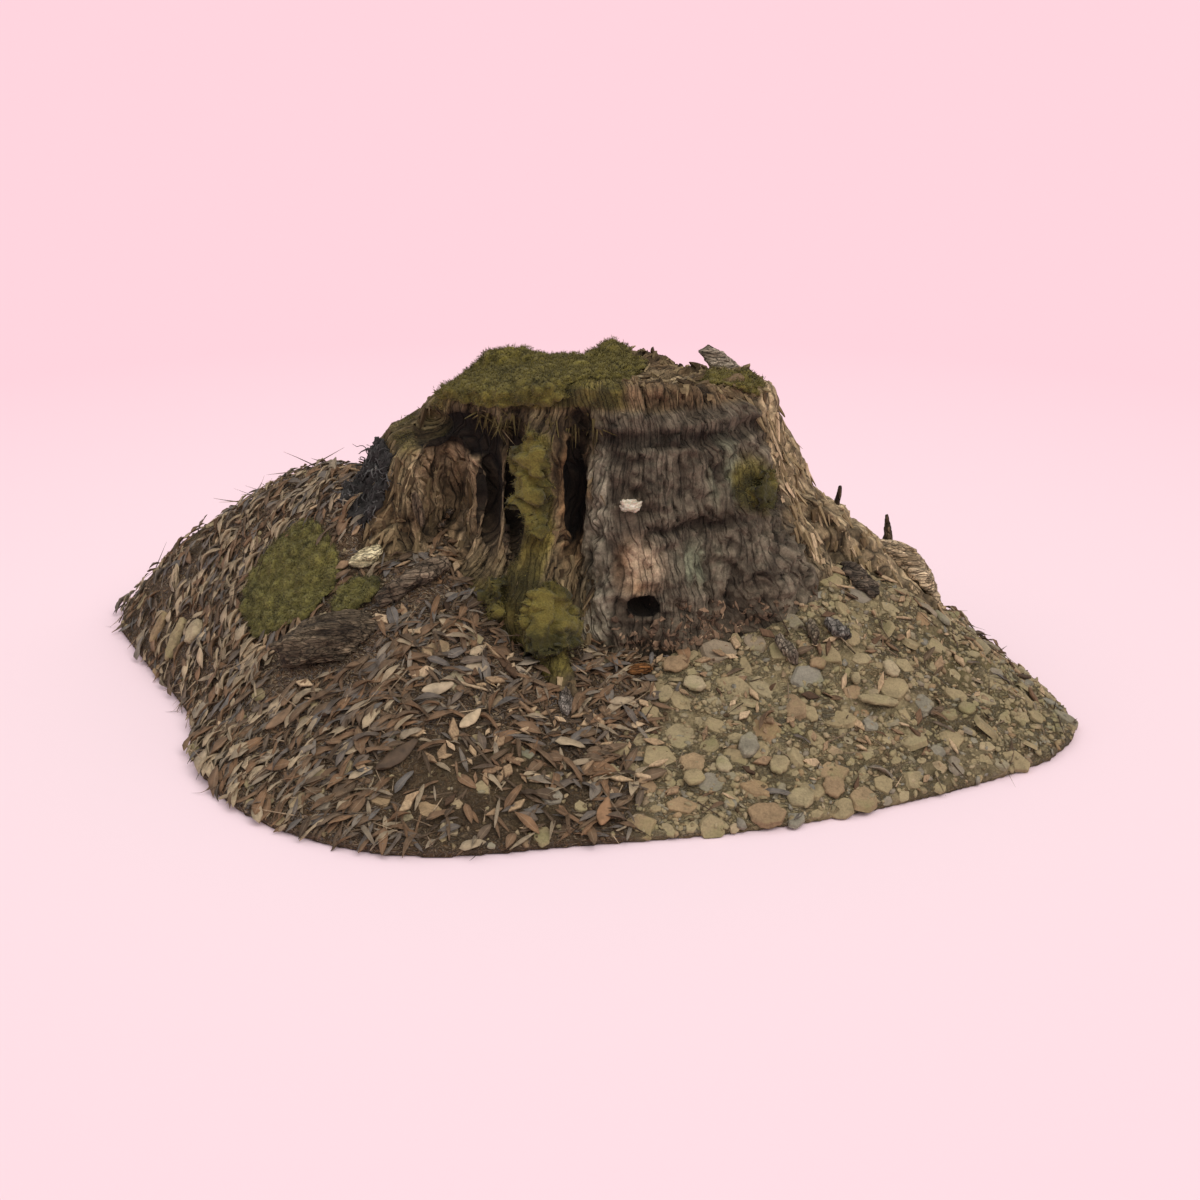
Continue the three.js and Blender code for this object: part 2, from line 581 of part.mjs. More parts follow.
// Adds a named piece to a part of the assembly, its origin at its own middle.
function add(parent, name, solid, color, roughness) {
  const geometry = geometryOf(solid);
  geometry.computeBoundingBox();
  const middle = geometry.boundingBox.getCenter(new THREE.Vector3()).round();
  geometry.translate(-middle.x, -middle.y, -middle.z);
  geometry.computeVertexNormals();
  const mesh = new THREE.Mesh(geometry, new THREE.MeshStandardMaterial({ color, roughness, metalness: 0 }));
  mesh.name = name;
  mesh.position.copy(middle);
  parent.add(mesh);
}

function addGroup() {
  const part = new THREE.Group();
  group.add(part);
  return part;
}

add(group, "ground_mound", largest(ground.subtract(stumpGrown)), 0x54462f, 1);
add(group, "stump", stump, 0x665443, WOOD_ROUGHNESS);

const woodGroup = addGroup();
add(woodGroup, "splinter_top_right", splinterSolid(), 0x6e665a, WOOD_ROUGHNESS);
add(woodGroup, "rotten_slab_right", rottenSlabSolid(), 0x8b7752, WOOD_ROUGHNESS);
const standingPeg = limb(STANDING_PEG.line, STANDING_PEG.radii, 7, 5);
add(woodGroup, "standing_peg_right", clearOfBoth(standingPeg), 0x4f4234, WOOD_ROUGHNESS);
const smallPeg = limb(SMALL_PEG.line, SMALL_PEG.radii, 6, 3);
add(woodGroup, "small_peg_right", clearOfBoth(smallPeg), 0x2c2621, WOOD_ROUGHNESS);
add(woodGroup, "root_stub_left", rootStubSolid(), 0x5c4f3c, WOOD_ROUGHNESS);
add(woodGroup, "fallen_branch_left", fallenBranchSolid(), 0x62564a, WOOD_ROUGHNESS);
add(woodGroup, "leaning_chip_left", leaningChipSolid(), 0x94643c, WOOD_ROUGHNESS);
add(woodGroup, "bracket_fungus", bracketFungusSolid(), 0xb5ab93, WOOD_ROUGHNESS);
WOOD_PIECES.forEach(({ name, at, turn, size, tip, color }) => {
  const piece = layOnGround(flatPiece(size, 8, 0.2), at, turn, tip);
  add(woodGroup, name, clearOfBoth(solidOf(piece)), color, WOOD_ROUGHNESS);
});

const mossGroup = addGroup();
LAYERS.forEach((layer) => add(mossGroup, layer.name, layerSolid(layer), layer.color, MOSS_ROUGHNESS));

const stoneGroup = addGroup();
STONES.forEach(({ at, turn, size, color }, i) => {
  const stone = layOnGround(flatPiece(size, 7), at, turn);
  add(stoneGroup, `stone_${i + 1}`, clearOfBoth(solidOf(stone)), color, STONE_ROUGHNESS);
});

const leafGroup = addGroup();
LEAVES.forEach(({ name, at, turn, size, curl, color }) => {
  const leaf = layOnGround(leafGeometry(size, curl), at, turn);
  add(leafGroup, name, clearOfBoth(solidOf(leaf)), color, LEAF_ROUGHNESS);
});

const twigGroup = addGroup();
TWIGS.forEach(({ name, passes, radius }) => {
  add(twigGroup, name, clearOfBoth(twigSolid(passes, radius)), 0x6d6257, WOOD_ROUGHNESS);
});

export default group;
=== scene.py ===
"""An old hollow tree stump on its patch of ground: rotten wood, bark, moss, leaf litter, stones and soil."""

import math

import bmesh
import bpy
import numpy as np
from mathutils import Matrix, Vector, noise
from mathutils.bvhtree import BVHTree


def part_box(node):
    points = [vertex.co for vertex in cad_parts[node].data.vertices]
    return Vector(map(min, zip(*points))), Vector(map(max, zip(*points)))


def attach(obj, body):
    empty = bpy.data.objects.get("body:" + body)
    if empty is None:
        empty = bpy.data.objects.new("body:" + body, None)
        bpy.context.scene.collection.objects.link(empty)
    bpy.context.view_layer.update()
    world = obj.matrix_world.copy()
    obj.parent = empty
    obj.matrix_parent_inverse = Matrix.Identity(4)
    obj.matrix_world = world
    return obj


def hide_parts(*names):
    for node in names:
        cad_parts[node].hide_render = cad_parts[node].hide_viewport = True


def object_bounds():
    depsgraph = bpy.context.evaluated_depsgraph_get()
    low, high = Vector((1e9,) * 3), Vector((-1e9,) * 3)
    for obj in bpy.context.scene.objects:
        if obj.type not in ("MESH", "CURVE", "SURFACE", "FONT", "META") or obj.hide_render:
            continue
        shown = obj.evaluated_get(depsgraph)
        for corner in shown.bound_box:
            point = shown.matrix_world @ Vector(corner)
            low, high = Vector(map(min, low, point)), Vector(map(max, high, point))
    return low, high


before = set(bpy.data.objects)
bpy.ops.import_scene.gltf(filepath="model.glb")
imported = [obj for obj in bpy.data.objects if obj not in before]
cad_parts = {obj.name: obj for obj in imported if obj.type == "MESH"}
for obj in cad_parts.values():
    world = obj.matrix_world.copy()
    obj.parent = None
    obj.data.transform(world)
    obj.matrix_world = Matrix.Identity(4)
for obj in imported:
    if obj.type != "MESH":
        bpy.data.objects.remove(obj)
CAD_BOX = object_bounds()

# Fixed, so that every run gives the same shapes
noise.seed_set(5)

bl_info = {
    "name": "Old tree stump",
    "version": (1, 0, 0),
    "blender": (4, 5, 0),
    "location": "View3D > Sidebar > Stump",
    "description": "Dresses the stump and its ground with wood, bark, moss, leaf litter, stones and soil",
    "category": "Add Mesh",
}

BODY = "root"

# Metres
OVERHANG = 0.03
CLEARANCE = 0.0005
CONTACT_GAP = 0.004
TRUNK_MIDDLE = np.array([0.105, 0.011, 0.0])
GREAT_HOLLOW = np.array([-0.30, -0.20, 0.62])

# Degrees round the trunk, counted from the right
FLANK_ANGLE = 1
BACK_ANGLE = 108
HOLLOW_ANGLE = 232
RIB_ANGLE = 243
SLAB_ANGLE = 303

DOWN = np.array([0, 0, -1.0])
UP = np.array([0, 0, 1])

# A share too small to matter, added so that shares never add up to nothing
TRACE = 1e-9


def tone(code):
    """A colour written as six hex digits, as linear red, green and blue."""
    parts = [int(code[k : k + 2], 16) / 255 for k in (0, 2, 4)]
    return tuple(c / 12.92 if c <= 0.04045 else ((c + 0.055) / 1.055) ** 2.4 for c in parts)


def colour_setting(name, description, code):
    """A colour that a user may change."""
    return bpy.props.FloatVectorProperty(
        name=name, description=description, subtype="COLOR", size=3, min=0, max=1, default=tone(code)
    )


def length_setting(name, description, default):
    """A length in metres that a user may change."""
    return bpy.props.FloatProperty(name=name, description=description, default=default, min=0, unit="LENGTH")


def strength_setting(name, description, default):
    """The strength of a light that a user may change."""
    return bpy.props.FloatProperty(name=name, description=description, default=default, min=0)


def count_setting(name, description, default):
    """A number of like pieces that a user may change."""
    return bpy.props.IntProperty(name=name, description=description, default=default, min=0)


class StageSettings(bpy.types.PropertyGroup):
    """The floor, the light and the camera."""

    floor: colour_setting("Floor", "Colour of the floor", "f0c8d3")
    # Painted light: the floor near the stump is painted paler, as a pool of light.
    painted_light_pool: colour_setting("Glow", "Colour of the floor close to the stump", "f0d9e0")
    backdrop: colour_setting("Backdrop", "Colour seen beyond the floor", "ffd7e3")
    sky: strength_setting("Sky", "Strength of the even light", 0.70)
    key: strength_setting("Key", "Strength of the soft main light", 1.7)
    fill: strength_setting("Fill", "Strength of the soft side light", 0.35)
    distance: length_setting("Camera distance", "From the camera to the middle of the view", 5.0)
    rise: bpy.props.FloatProperty(
        name="Camera rise",
        description="How far above level the camera stands",
        default=math.radians(20),
        subtype="ANGLE",
    )
    lens: bpy.props.FloatProperty(name="Lens", description="Focal length in millimetres", default=60, min=1)


class WoodSettings(bpy.types.PropertyGroup):
    """The trunk, its roots and every loose piece of wood or bark."""

    grain: length_setting("Skin grain", "Face size of the trunk's skin", 0.0068)
    ridge: length_setting("Ridge depth", "How far the wood's long ridges stand out", 0.009)
    crack: length_setting("Crack depth", "How deep the long cracks run", 0.017)
    pale: colour_setting("Pale wood", "Weathered fibres on the walls", "94805f")
    brown: colour_setting("Brown wood", "Damp rotten wood", "5d4b34")
    # Besides tinting the darkest splinters, this colour is the painted shade in the trunk's cracks, sunken
    # places and hollows.
    dark: colour_setting("Dark wood", "Cracks and the deep hollows", "19120c")
    orange: colour_setting("Orange wood", "Fresh crumbling rot", "99704a")
    flank: colour_setting("Flank wood", "Pale splintered wood on the right flank", "c4ac88")
    bark: colour_setting("Bark", "The dark bark slab", "514538")
    bark_pale: colour_setting("Worn bark", "Worn grey patches on the bark", "887b68")
    lichen: colour_setting("Lichen", "Grey-green lichen on bark", "7c8068")
    splinters: count_setting("Splinters", "Loose slivers on the broken wood", 1500)
    shards: count_setting("Shards", "Broad broken shards on the bare wood", 1100)
    rubble: count_setting("Bark rubble", "Broken bark at the foot of the slab", 420)


class MossSettings(bpy.types.PropertyGroup):
    """Moss on the wood and on the ground."""

    grain: length_setting("Skin grain", "Face size of a moss cushion's skin", 0.007)
    cushion: length_setting("Cushion height", "How far the cushions stand out", 0.012)
    sprigs: count_setting("Sprigs", "Small moss shoots", 42000)
    sprig: length_setting("Sprig length", "Length of a moss shoot", 0.009)
    dark: colour_setting("Dark moss", "Damp moss in the hollows", "3d381a")
    green: colour_setting("Green moss", "Most of the moss", "6a5f2d")
    bright: colour_setting("Bright moss", "Yellow-green tips", "887b3a")


class GroundSettings(bpy.types.PropertyGroup):
    """The soil patch."""

    grain: length_setting("Skin grain", "Face size of the soil's skin", 0.010)
    lump: length_setting("Lump height", "How far the soil's lumps stand out", 0.012)
    crumbs: count_setting("Crumbs", "Loose crumbs of soil", 6500)
    soil: colour_setting("Soil", "Dark soil under the litter", "584836")
    olive: colour_setting("Olive soil", "Trodden soil between the stones", "9a8b69")
    humus: colour_setting("Humus", "Damp soil and rot", "3d3023")


class StoneSettings(bpy.types.PropertyGroup):
    """Flat stones and gravel."""

    packed: count_setting("Packed stones", "Flat stones tried for the stony side", 30000)
    gravel: count_setting("Gravel", "Small stones", 24000)
    largest: length_setting("Largest stone", "Length of the largest packed stone", 0.125)
    khaki: colour_setting("Khaki stone", "Most of the stones", "8f7e5e")
    grey: colour_setting("Grey stone", "Bluish stones", "7e786b")
    rust: colour_setting("Rusty stone", "Orange-tan stones", "8c7253")


class LeafSettings(bpy.types.PropertyGroup):
    """Fallen leaves."""

    leaves: count_setting("Leaves", "Leaves in the litter", 15000)
    length: length_setting("Leaf length", "Length of a usual leaf", 0.066)
    brown: colour_setting("Brown leaf", "Most of the litter", "755f49")
    rust: colour_setting("Rusty leaf", "Fresh fallen leaves", "8e6c4e")
    tan: colour_setting("Tan leaf", "Bleached leaves", "ab977c")
    slate: colour_setting("Slate leaf", "Wet, greyed leaves", "746d67")


GROUPS = {
    "stump_stage": StageSettings,
    "stump_wood": WoodSettings,
    "stump_moss": MossSettings,
    "stump_ground": GroundSettings,
    "stump_stones": StoneSettings,
    "stump_leaves": LeafSettings,
}


# Numbers over many points


def smooth(share):
    """Eases 0 to 1."""
    share = np.clip(share, 0, 1)
    return share * share * (3 - 2 * share)


def band(value, low, high, soft):
    """1 between low and high, easing to 0 over the soft edge."""
    return smooth((value - low) / soft + 0.5) * smooth((high - value) / soft + 0.5)


def turned(angle, middle):
    """Degrees from the middle angle, between -180 and 180."""
    return (angle - middle + 180) % 360 - 180


def spot(points, middle, half):
    """1 at the middle of an egg-shaped spot, 0 at its edge and beyond."""
    away = np.linalg.norm((points - np.array(middle)) / np.array(half), axis=1)
    return smooth(1.6 - 1.6 * away)


def any_spot(points, *spots):
    """1 at the middle of any of the spots, each a middle and its half sizes."""
    return np.max([spot(points, middle, half) for middle, half in spots], axis=0)


def angle_round(points):
    """Degrees round the trunk's axis, 0 to 360."""
    away = points - TRUNK_MIDDLE
    return np.degrees(np.arctan2(away[:, 1], away[:, 0])) % 360


def fractal(points, size, seed, octaves=2):
    """Smooth noise at each point, about -1 to 1. The size is its grain in metres, for all axes or each."""
    placed = points / np.array(size) + 7.31 * seed
    total = np.zeros(len(points))
    for octave in range(octaves):
        scaled = (placed * 2.0**octave).tolist()
        total += np.array([noise.noise(p) for p in scaled]) / 2.0**octave
    return total


def plates(points, size, seed):
    """How far each point is from the border of its cell, 0 on the border, and its cell's number, 0 to 1."""
    placed = (points / np.array(size) + 3.7 * seed).tolist()
    found = [noise.voronoi(p) for p in placed]
    edge = np.array([reach[1] - reach[0] for reach, _ in found])
    number = [(12.9 * x + 78.2 * y + 37.7 * z) % 1 for x, y, z in (centres[0] for _, centres in found)]
    return edge, np.array(number)


def blend(first, second, share):
    """Mixes two colours, one share for each point."""
    first, second = np.atleast_2d(first), np.atleast_2d(second)
    return first + np.clip(share, 0, 1)[:, None] * (second - first)


# Meshes


def points_of(mesh):
    """Every vertex's place."""
    flat = np.empty(len(mesh.vertices) * 3, np.float32)
    mesh.vertices.foreach_get("co", flat)
    return flat.reshape(-1, 3).astype(float)


def normals_of(mesh):
    """Every vertex's outward direction."""
    flat = np.empty(len(mesh.vertices) * 3, np.float32)
    mesh.vertices.foreach_get("normal", flat)
    return flat.reshape(-1, 3).astype(float)


def move_to(mesh, points):
    """Puts every vertex at its new place."""
    mesh.vertices.foreach_set("co", np.ascontiguousarray(points, np.float32).ravel())
    mesh.update()


def new_piece(name, mesh):
    """An object in the scene that holds the mesh."""
    piece = bpy.data.objects.new(name, mesh)
    bpy.context.scene.collection.objects.link(piece)
    return piece


def mesh_from(bm, name):
    """Turns a finished bmesh into a mesh."""
    mesh = bpy.data.meshes.new(name)
    bm.to_mesh(mesh)
    bm.free()
    return mesh


def merged_copy(node, name):
    """A copy of a CAD node's solid, with its loose triangles joined."""
    bm = bmesh.new()
    bm.from_mesh(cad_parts[node].data)
    bmesh.ops.remove_doubles(bm, verts=bm.verts, dist=1e-5)
    return new_piece(name, mesh_from(bm, name))


def even_skin(piece, grain, smoothing=2):
    """Gives the piece an even skin of small faces."""
    skin = piece.modifiers.new("Skin", "REMESH")
    skin.mode = "VOXEL"
    skin.voxel_size = grain
    ease = piece.modifiers.new("Ease", "SMOOTH")
    ease.iterations = smoothing
    bpy.context.view_layer.update()
    old = piece.data
    ready = piece.evaluated_get(bpy.context.evaluated_depsgraph_get())
    piece.data = bpy.data.meshes.new_from_object(ready)
    piece.modifiers.clear()
    bpy.data.meshes.remove(old)
    piece.data.name = piece.name
    return piece


def thin_buried(piece, buried):
    """Leaves only a few faces where the piece is never seen."""
    group = piece.vertex_groups.new(name="buried")
    group.add(np.flatnonzero(buried).tolist(), 1.0, "REPLACE")
    fewer = piece.modifiers.new("Fewer", "DECIMATE")
    fewer.vertex_group = group.name
    fewer.ratio = 1 - 0.93 * buried.mean()
    ready = piece.evaluated_get(bpy.context.evaluated_depsgraph_get())
    old = piece.data
    piece.data = bpy.data.meshes.new_from_object(ready)
    piece.modifiers.clear()
    piece.vertex_groups.clear()
    bpy.data.meshes.remove(old)
    piece.data.name = piece.name


def touching(points, node, gap):
    """True where a point lies against the CAD node."""
    bm = bmesh.new()
    bm.from_mesh(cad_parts[node].data)
    other = BVHTree.FromBMesh(bm)
    bm.free()
    return np.array([other.find_nearest(Vector(point), gap)[0] is not None for point in points.tolist()])


def finer(piece, cuts):
    """Splits every edge of the piece, rounding it a little."""
    bm = bmesh.new()
    bm.from_mesh(piece.data)
    bmesh.ops.subdivide_edges(bm, edges=bm.edges, cuts=cuts, smooth=0.5, use_grid_fill=True)
    bmesh.ops.triangulate(bm, faces=bm.faces)
    bm.to_mesh(piece.data)
    bm.free()
    return piece


def keep_values(mesh, name, values):
    """Stores one number or one colour for each vertex."""
    values = np.asarray(values, np.float32)
    if values.ndim == 1:
        mesh.attributes.new(name, "FLOAT", "POINT").data.foreach_set("value", values)
        return
    full = np.ones((len(values), 4), np.float32)
    full[:, :3] = values
    mesh.attributes.new(name, "FLOAT_COLOR", "POINT").data.foreach_set("color", full.ravel())


def kept_values(mesh, name):
    """The numbers stored for each vertex."""
    values = np.empty(len(mesh.vertices), np.float32)
    mesh.attributes[name].data.foreach_get("value", values)
    return values


def keep_grain(mesh, values):
    """Stores for each vertex a place in which the grain runs along the third axis."""
    flat = np.ascontiguousarray(values, np.float32).ravel()
    mesh.attributes.new("grain", "FLOAT_VECTOR", "POINT").data.foreach_set("vector", flat)


def complete(piece, slot, finish, *nodes, crisp=False):
    """Keeps the piece inside the part's size and gives it its finish, slot and replaced CAD nodes."""
    low, high = CAD_BOX
    least = (low.x - OVERHANG, low.y - OVERHANG, low.z + CLEARANCE)
    most = (high.x + OVERHANG, high.y + OVERHANG, high.z + OVERHANG)
    move_to(piece.data, np.clip(points_of(piece.data), least, most))
    piece.data.materials.clear()
    piece.data.materials.append(finish)
    piece.data.polygons.foreach_set("use_smooth", [not crisp] * len(piece.data.polygons))
    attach(piece, BODY)
    if nodes:
        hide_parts(*nodes)
    return piece


# Many copies of a small template


def many_copies(template, count):
    """A bmesh that holds this many copies of the template, all at one place."""
    bm = bmesh.new()
    block = template.copy()
    while count:
        if count & 1:
            bm.from_mesh(block)
        count >>= 1
        double = bmesh.new()
        double.from_mesh(block)
        double.from_mesh(block)
        double.to_mesh(block)
        double.free()
    bpy.data.meshes.remove(block)
    return bm


def frames_on(normals, along):
    """One turn for each place: first axis along, third axis outward."""
    up = normals / np.linalg.norm(normals, axis=1)[:, None]
    along = along - (along * up).sum(1)[:, None] * up
    along /= np.maximum(np.linalg.norm(along, axis=1), 1e-9)[:, None]
    across = np.cross(up, along)
    return np.stack([along, across, up], axis=2)


def loose_turns(outward, lean, draws):
    """Turns that lean at random from the outward directions and head any way."""
    leaning = outward + draws.normal(0, lean, outward.shape)
    return frames_on(leaning, draws.normal(0, 1, outward.shape))


def level_ways(heading):
    """Level directions for the headings in radians."""
    return np.stack([np.cos(heading), np.sin(heading), np.zeros(len(heading))], axis=1)


def strewn(name, templates, spots, turns, scales, tints, draws):
    """One piece made of scaled and turned copies of the templates, each copy with its own tint."""
    pick = draws.integers(0, len(templates), len(spots))
    whole = bmesh.new()
    places, shades = [], []
    for index, template in enumerate(templates):
        chosen = np.flatnonzero(pick == index)
        if not len(chosen):
            continue
        batch = mesh_from(many_copies(template, len(chosen)), "batch")
        whole.from_mesh(batch)
        bpy.data.meshes.remove(batch)
        shape = points_of(template)
        sized = shape[None, :, :] * scales[chosen][:, None, :]
        moved = np.einsum("nij,ntj->nti", turns[chosen], sized) + spots[chosen][:, None, :]
        places.append(moved.reshape(-1, 3))
        shades.append(np.repeat(tints[chosen], len(shape)))
    mesh = mesh_from(whole, name)
    move_to(mesh, np.concatenate(places))
    keep_values(mesh, "tint", np.concatenate(shades))
    return new_piece(name, mesh)


def jittered(bm, amount, seed, size=0.4):
    """Moves a template's vertices a little, by smooth noise."""
    for vert in bm.verts:
        vert.co += amount * noise.noise_vector(vert.co / size + Vector((seed, 2.3 * seed, 0)))


def leaf_template(name, widest, fullness, curl, cup, steps=6):
    """A thin closed leaf one unit long, with its stalk end at minus x."""
    bm = bmesh.new()
    bm.loops.layers.uv.new("UVMap")
    bmesh.ops.create_grid(bm, x_segments=steps, y_segments=2, size=0.5, calc_uvs=True)
    for vert in bm.verts:
        share = vert.co.x + 0.5
        side = vert.co.y / 0.5
        bow = math.sin(math.pi * share**widest)
        half = 0.012 + fullness * max(bow, 0) ** 0.8
        vert.co.y = side * half
        ruffle = 0.03 * math.sin(9 * share) * side
        vert.co.z = curl * math.sin(math.pi * share) + cup * abs(side) * max(bow, 0) + ruffle
    bmesh.ops.solidify(bm, geom=bm.faces, thickness=0.014)
    bmesh.ops.recalc_face_normals(bm, faces=bm.faces)
    return mesh_from(bm, name)


def stone_template(name, corners, seed):
    """A flat angular stone about one unit across with worn edges, its top at half its height."""
    bm = bmesh.new()
    bmesh.ops.create_circle(bm, cap_ends=True, radius=0.5, segments=corners)
    for vert in bm.verts:
        shift = noise.noise_vector(vert.co * 2.6 + Vector((seed, 2.3 * seed, 0)))
        vert.co += Vector((0.20 * shift.x, 0.20 * shift.y, 0))
    raised = bmesh.ops.extrude_face_region(bm, geom=bm.faces[:])["geom"]
    lifted = [item for item in raised if isinstance(item, bmesh.types.BMVert)]
    bmesh.ops.translate(bm, verts=lifted, vec=(0, 0, 0.5))
    bmesh.ops.scale(bm, verts=lifted, vec=(0.88, 0.88, 1))
    edges = [edge for edge in bm.edges if max(vert.co.z for vert in edge.verts) > 0.25]
    worn = {"offset": 0.07, "offset_type": "OFFSET", "segments": 2, "profile": 0.5}
    bmesh.ops.bevel(bm, geom=edges, affect="EDGES", material=-1, **worn)
    for vert in bm.verts:
        vert.co.z += 0.16 * vert.co.z * noise.noise(Vector((2.2 * vert.co.x, 2.2 * vert.co.y, seed)))
        vert.co.z += 0.25 * vert.co.z * vert.co.x * math.sin(seed)
    bmesh.ops.recalc_face_normals(bm, faces=bm.faces)
    return mesh_from(bm, name)


def shard_template(name, seed):
    """A broad flat shard of wood one unit long with a slanting broken end."""
    bm = bmesh.new()
    bmesh.ops.create_cube(bm, size=1)
    bmesh.ops.translate(bm, verts=bm.verts, vec=(0.5, 0, 0))
    sides = [edge for edge in bm.edges if abs(edge.verts[0].co.x - edge.verts[1].co.x) > 0.5]
    bmesh.ops.subdivide_edges(bm, edges=sides, cuts=2)
    for vert in bm.verts:
        along = vert.co.x
        wobble = noise.noise_vector(Vector((2.4 * along, seed, vert.co.z)))
        narrow = 1 - 0.6 * along**2
        slant = 0.35 * vert.co.y * math.sin(3 * seed) * along
        across = vert.co.y * narrow + 0.35 * wobble.x
        vert.co = Vector((along + slant, across, vert.co.z * narrow + 0.3 * wobble.y))
    bmesh.ops.recalc_face_normals(bm, faces=bm.faces)
    return mesh_from(bm, name)


def crumb_template(name, seed):
    """A small angular crumb about one unit across."""
    bm = bmesh.new()
    bmesh.ops.create_icosphere(bm, subdivisions=1, radius=0.5)
    jittered(bm, 0.35, seed, 0.3)
    return mesh_from(bm, name)


def sliver_template(name, bend, seed):
    """A tapered splinter one unit long from its root at zero, flattened, with a bend."""
    bm = bmesh.new()
    bmesh.ops.create_cone(bm, cap_ends=True, segments=5, radius1=0.5, radius2=0.06, depth=1)
    sides = [edge for edge in bm.edges if abs(edge.verts[0].co.z - edge.verts[1].co.z) > 0.5]
    bmesh.ops.subdivide_edges(bm, edges=sides, cuts=2)
    for vert in bm.verts:
        along, across, up = vert.co.z + 0.5, vert.co.x, vert.co.y
        wobble = 0.25 * noise.noise(Vector((3 * along, seed, 0)))
        vert.co = Vector((along, across + wobble * along, up + bend * along * along))
    bmesh.ops.recalc_face_normals(bm, faces=bm.faces)
    return mesh_from(bm, name)


def sprig_template(name):
    """A moss shoot one unit long."""
    bm = bmesh.new()
    bmesh.ops.create_cone(bm, cap_ends=True, segments=3, radius1=0.5, radius2=0.0, depth=1)
    for vert in bm.verts:
        vert.co = Vector((vert.co.x, vert.co.y, vert.co.z + 0.4))
    return mesh_from(bm, name)


# Finishes


class Finish:
    """Builds one procedural material."""

    def __init__(self, name, roughness=0.9, specular=0.25):
        self.material = bpy.data.materials.new(name)
        self.material.use_nodes = True
        self.tree = self.material.node_tree
        self.surface = self.tree.nodes["Principled BSDF"]
        self.surface.inputs["Roughness"].default_value = roughness
        self.surface.inputs["Specular IOR Level"].default_value = specular
        self.place = self.node("TexCoord").outputs["Object"]

    def feed(self, socket, value):
        """Links a socket to a value, or sets it."""
        if isinstance(value, bpy.types.NodeSocket):
            self.tree.links.new(value, socket)
        else:
            socket.default_value = value

    def node(self, kind, inputs=None, **settings):
        """Adds a node with these settings and inputs."""
        made = self.tree.nodes.new("ShaderNode" + kind)
        for key, value in settings.items():
            setattr(made, key, value)
        for key, value in (inputs or {}).items():
            self.feed(made.inputs[key], value)
        return made

    def stretched(self, scale):
        """Object coordinates with each axis scaled."""
        return self.node("Mapping", {"Vector": self.place, "Scale": scale}).outputs["Vector"]

    def mottle(self, scale, detail=4, vector=None, roughness=0.6):
        """Cloudy noise between 0 and 1."""
        inputs = {"Scale": scale, "Detail": detail, "Roughness": roughness}
        inputs["Vector"] = vector or self.place
        return self.node("TexNoise", inputs).outputs["Fac"]

    def cells(self, scale, vector=None, feature="F1", output="Distance"):
        """Cell pattern."""
        inputs = {"Scale": scale, "Vector": vector or self.place}
        return self.node("TexVoronoi", inputs, feature=feature).outputs[output]

    def stored(self, name, output="Fac"):
        """A value stored on the piece's vertices."""
        return self.node("Attribute", attribute_name=name).outputs[output]

    def ramp(self, value, *stops):
        """Colours along 0 to 1, each stop a place and a colour."""
        made = self.node("ValToRGB", {"Fac": value})
        elements = made.color_ramp.elements
        while len(elements) < len(stops):
            elements.new(0.5)
        for element, (place, colour) in zip(elements, stops):
            element.position = place
            element.color = (*colour[:3], 1)
        return made.outputs["Color"]

    def span(self, value, low, high, first=0.0, last=1.0):
        """Maps low..high to first..last, held at the ends."""
        inputs = {"Value": value, "From Min": low, "From Max": high, "To Min": first, "To Max": last}
        return self.node("MapRange", inputs).outputs["Result"]

    def sum(self, first, second, operation="ADD"):
        """Arithmetic on two values."""
        return self.node("Math", {0: first, 1: second}, operation=operation).outputs[0]

    def product(self, first, second):
        """One value times the other."""
        return self.sum(first, second, "MULTIPLY")

    def mixed(self, share, first, second, blend_type="MIX"):
        """Mixes two colours."""
        made = self.node("Mix", data_type="RGBA", blend_type=blend_type)
        self.feed(made.inputs[0], share)
        for index, value in ((6, first), (7, second)):
            if not isinstance(value, bpy.types.NodeSocket):
                value = (*value[:3], 1)
            self.feed(made.inputs[index], value)
        return made.outputs[2]

    def toned(self, share, colour, value, *stops):
        """A colour made darker or lighter by a value, each stop a place and a factor."""
        shades = self.ramp(value, *((place, grey(factor)) for place, factor in stops))
        return self.mixed(share, colour, shades, "MULTIPLY")

    def slanted(self, split, away):
        """Leaf coordinates in which the side veins run forward from the middle rib."""
        along = self.sum(split.outputs["X"], away, "SUBTRACT")
        return self.node("CombineXYZ", {"X": along}).outputs["Vector"]

    def relief(self, height, distance, strength=1.0):
        """Bump from a height."""
        inputs = {"Height": height, "Distance": distance, "Strength": strength}
        return self.node("Bump", inputs).outputs["Normal"]

    def done(self, colour, normal=None):
        """Connects the colour and the bump."""
        self.feed(self.surface.inputs["Base Color"], colour)
        if normal is not None:
            self.feed(self.surface.inputs["Normal"], normal)
        return self.material


def grey(value):
    """A neutral colour."""
    return (value, value, value)


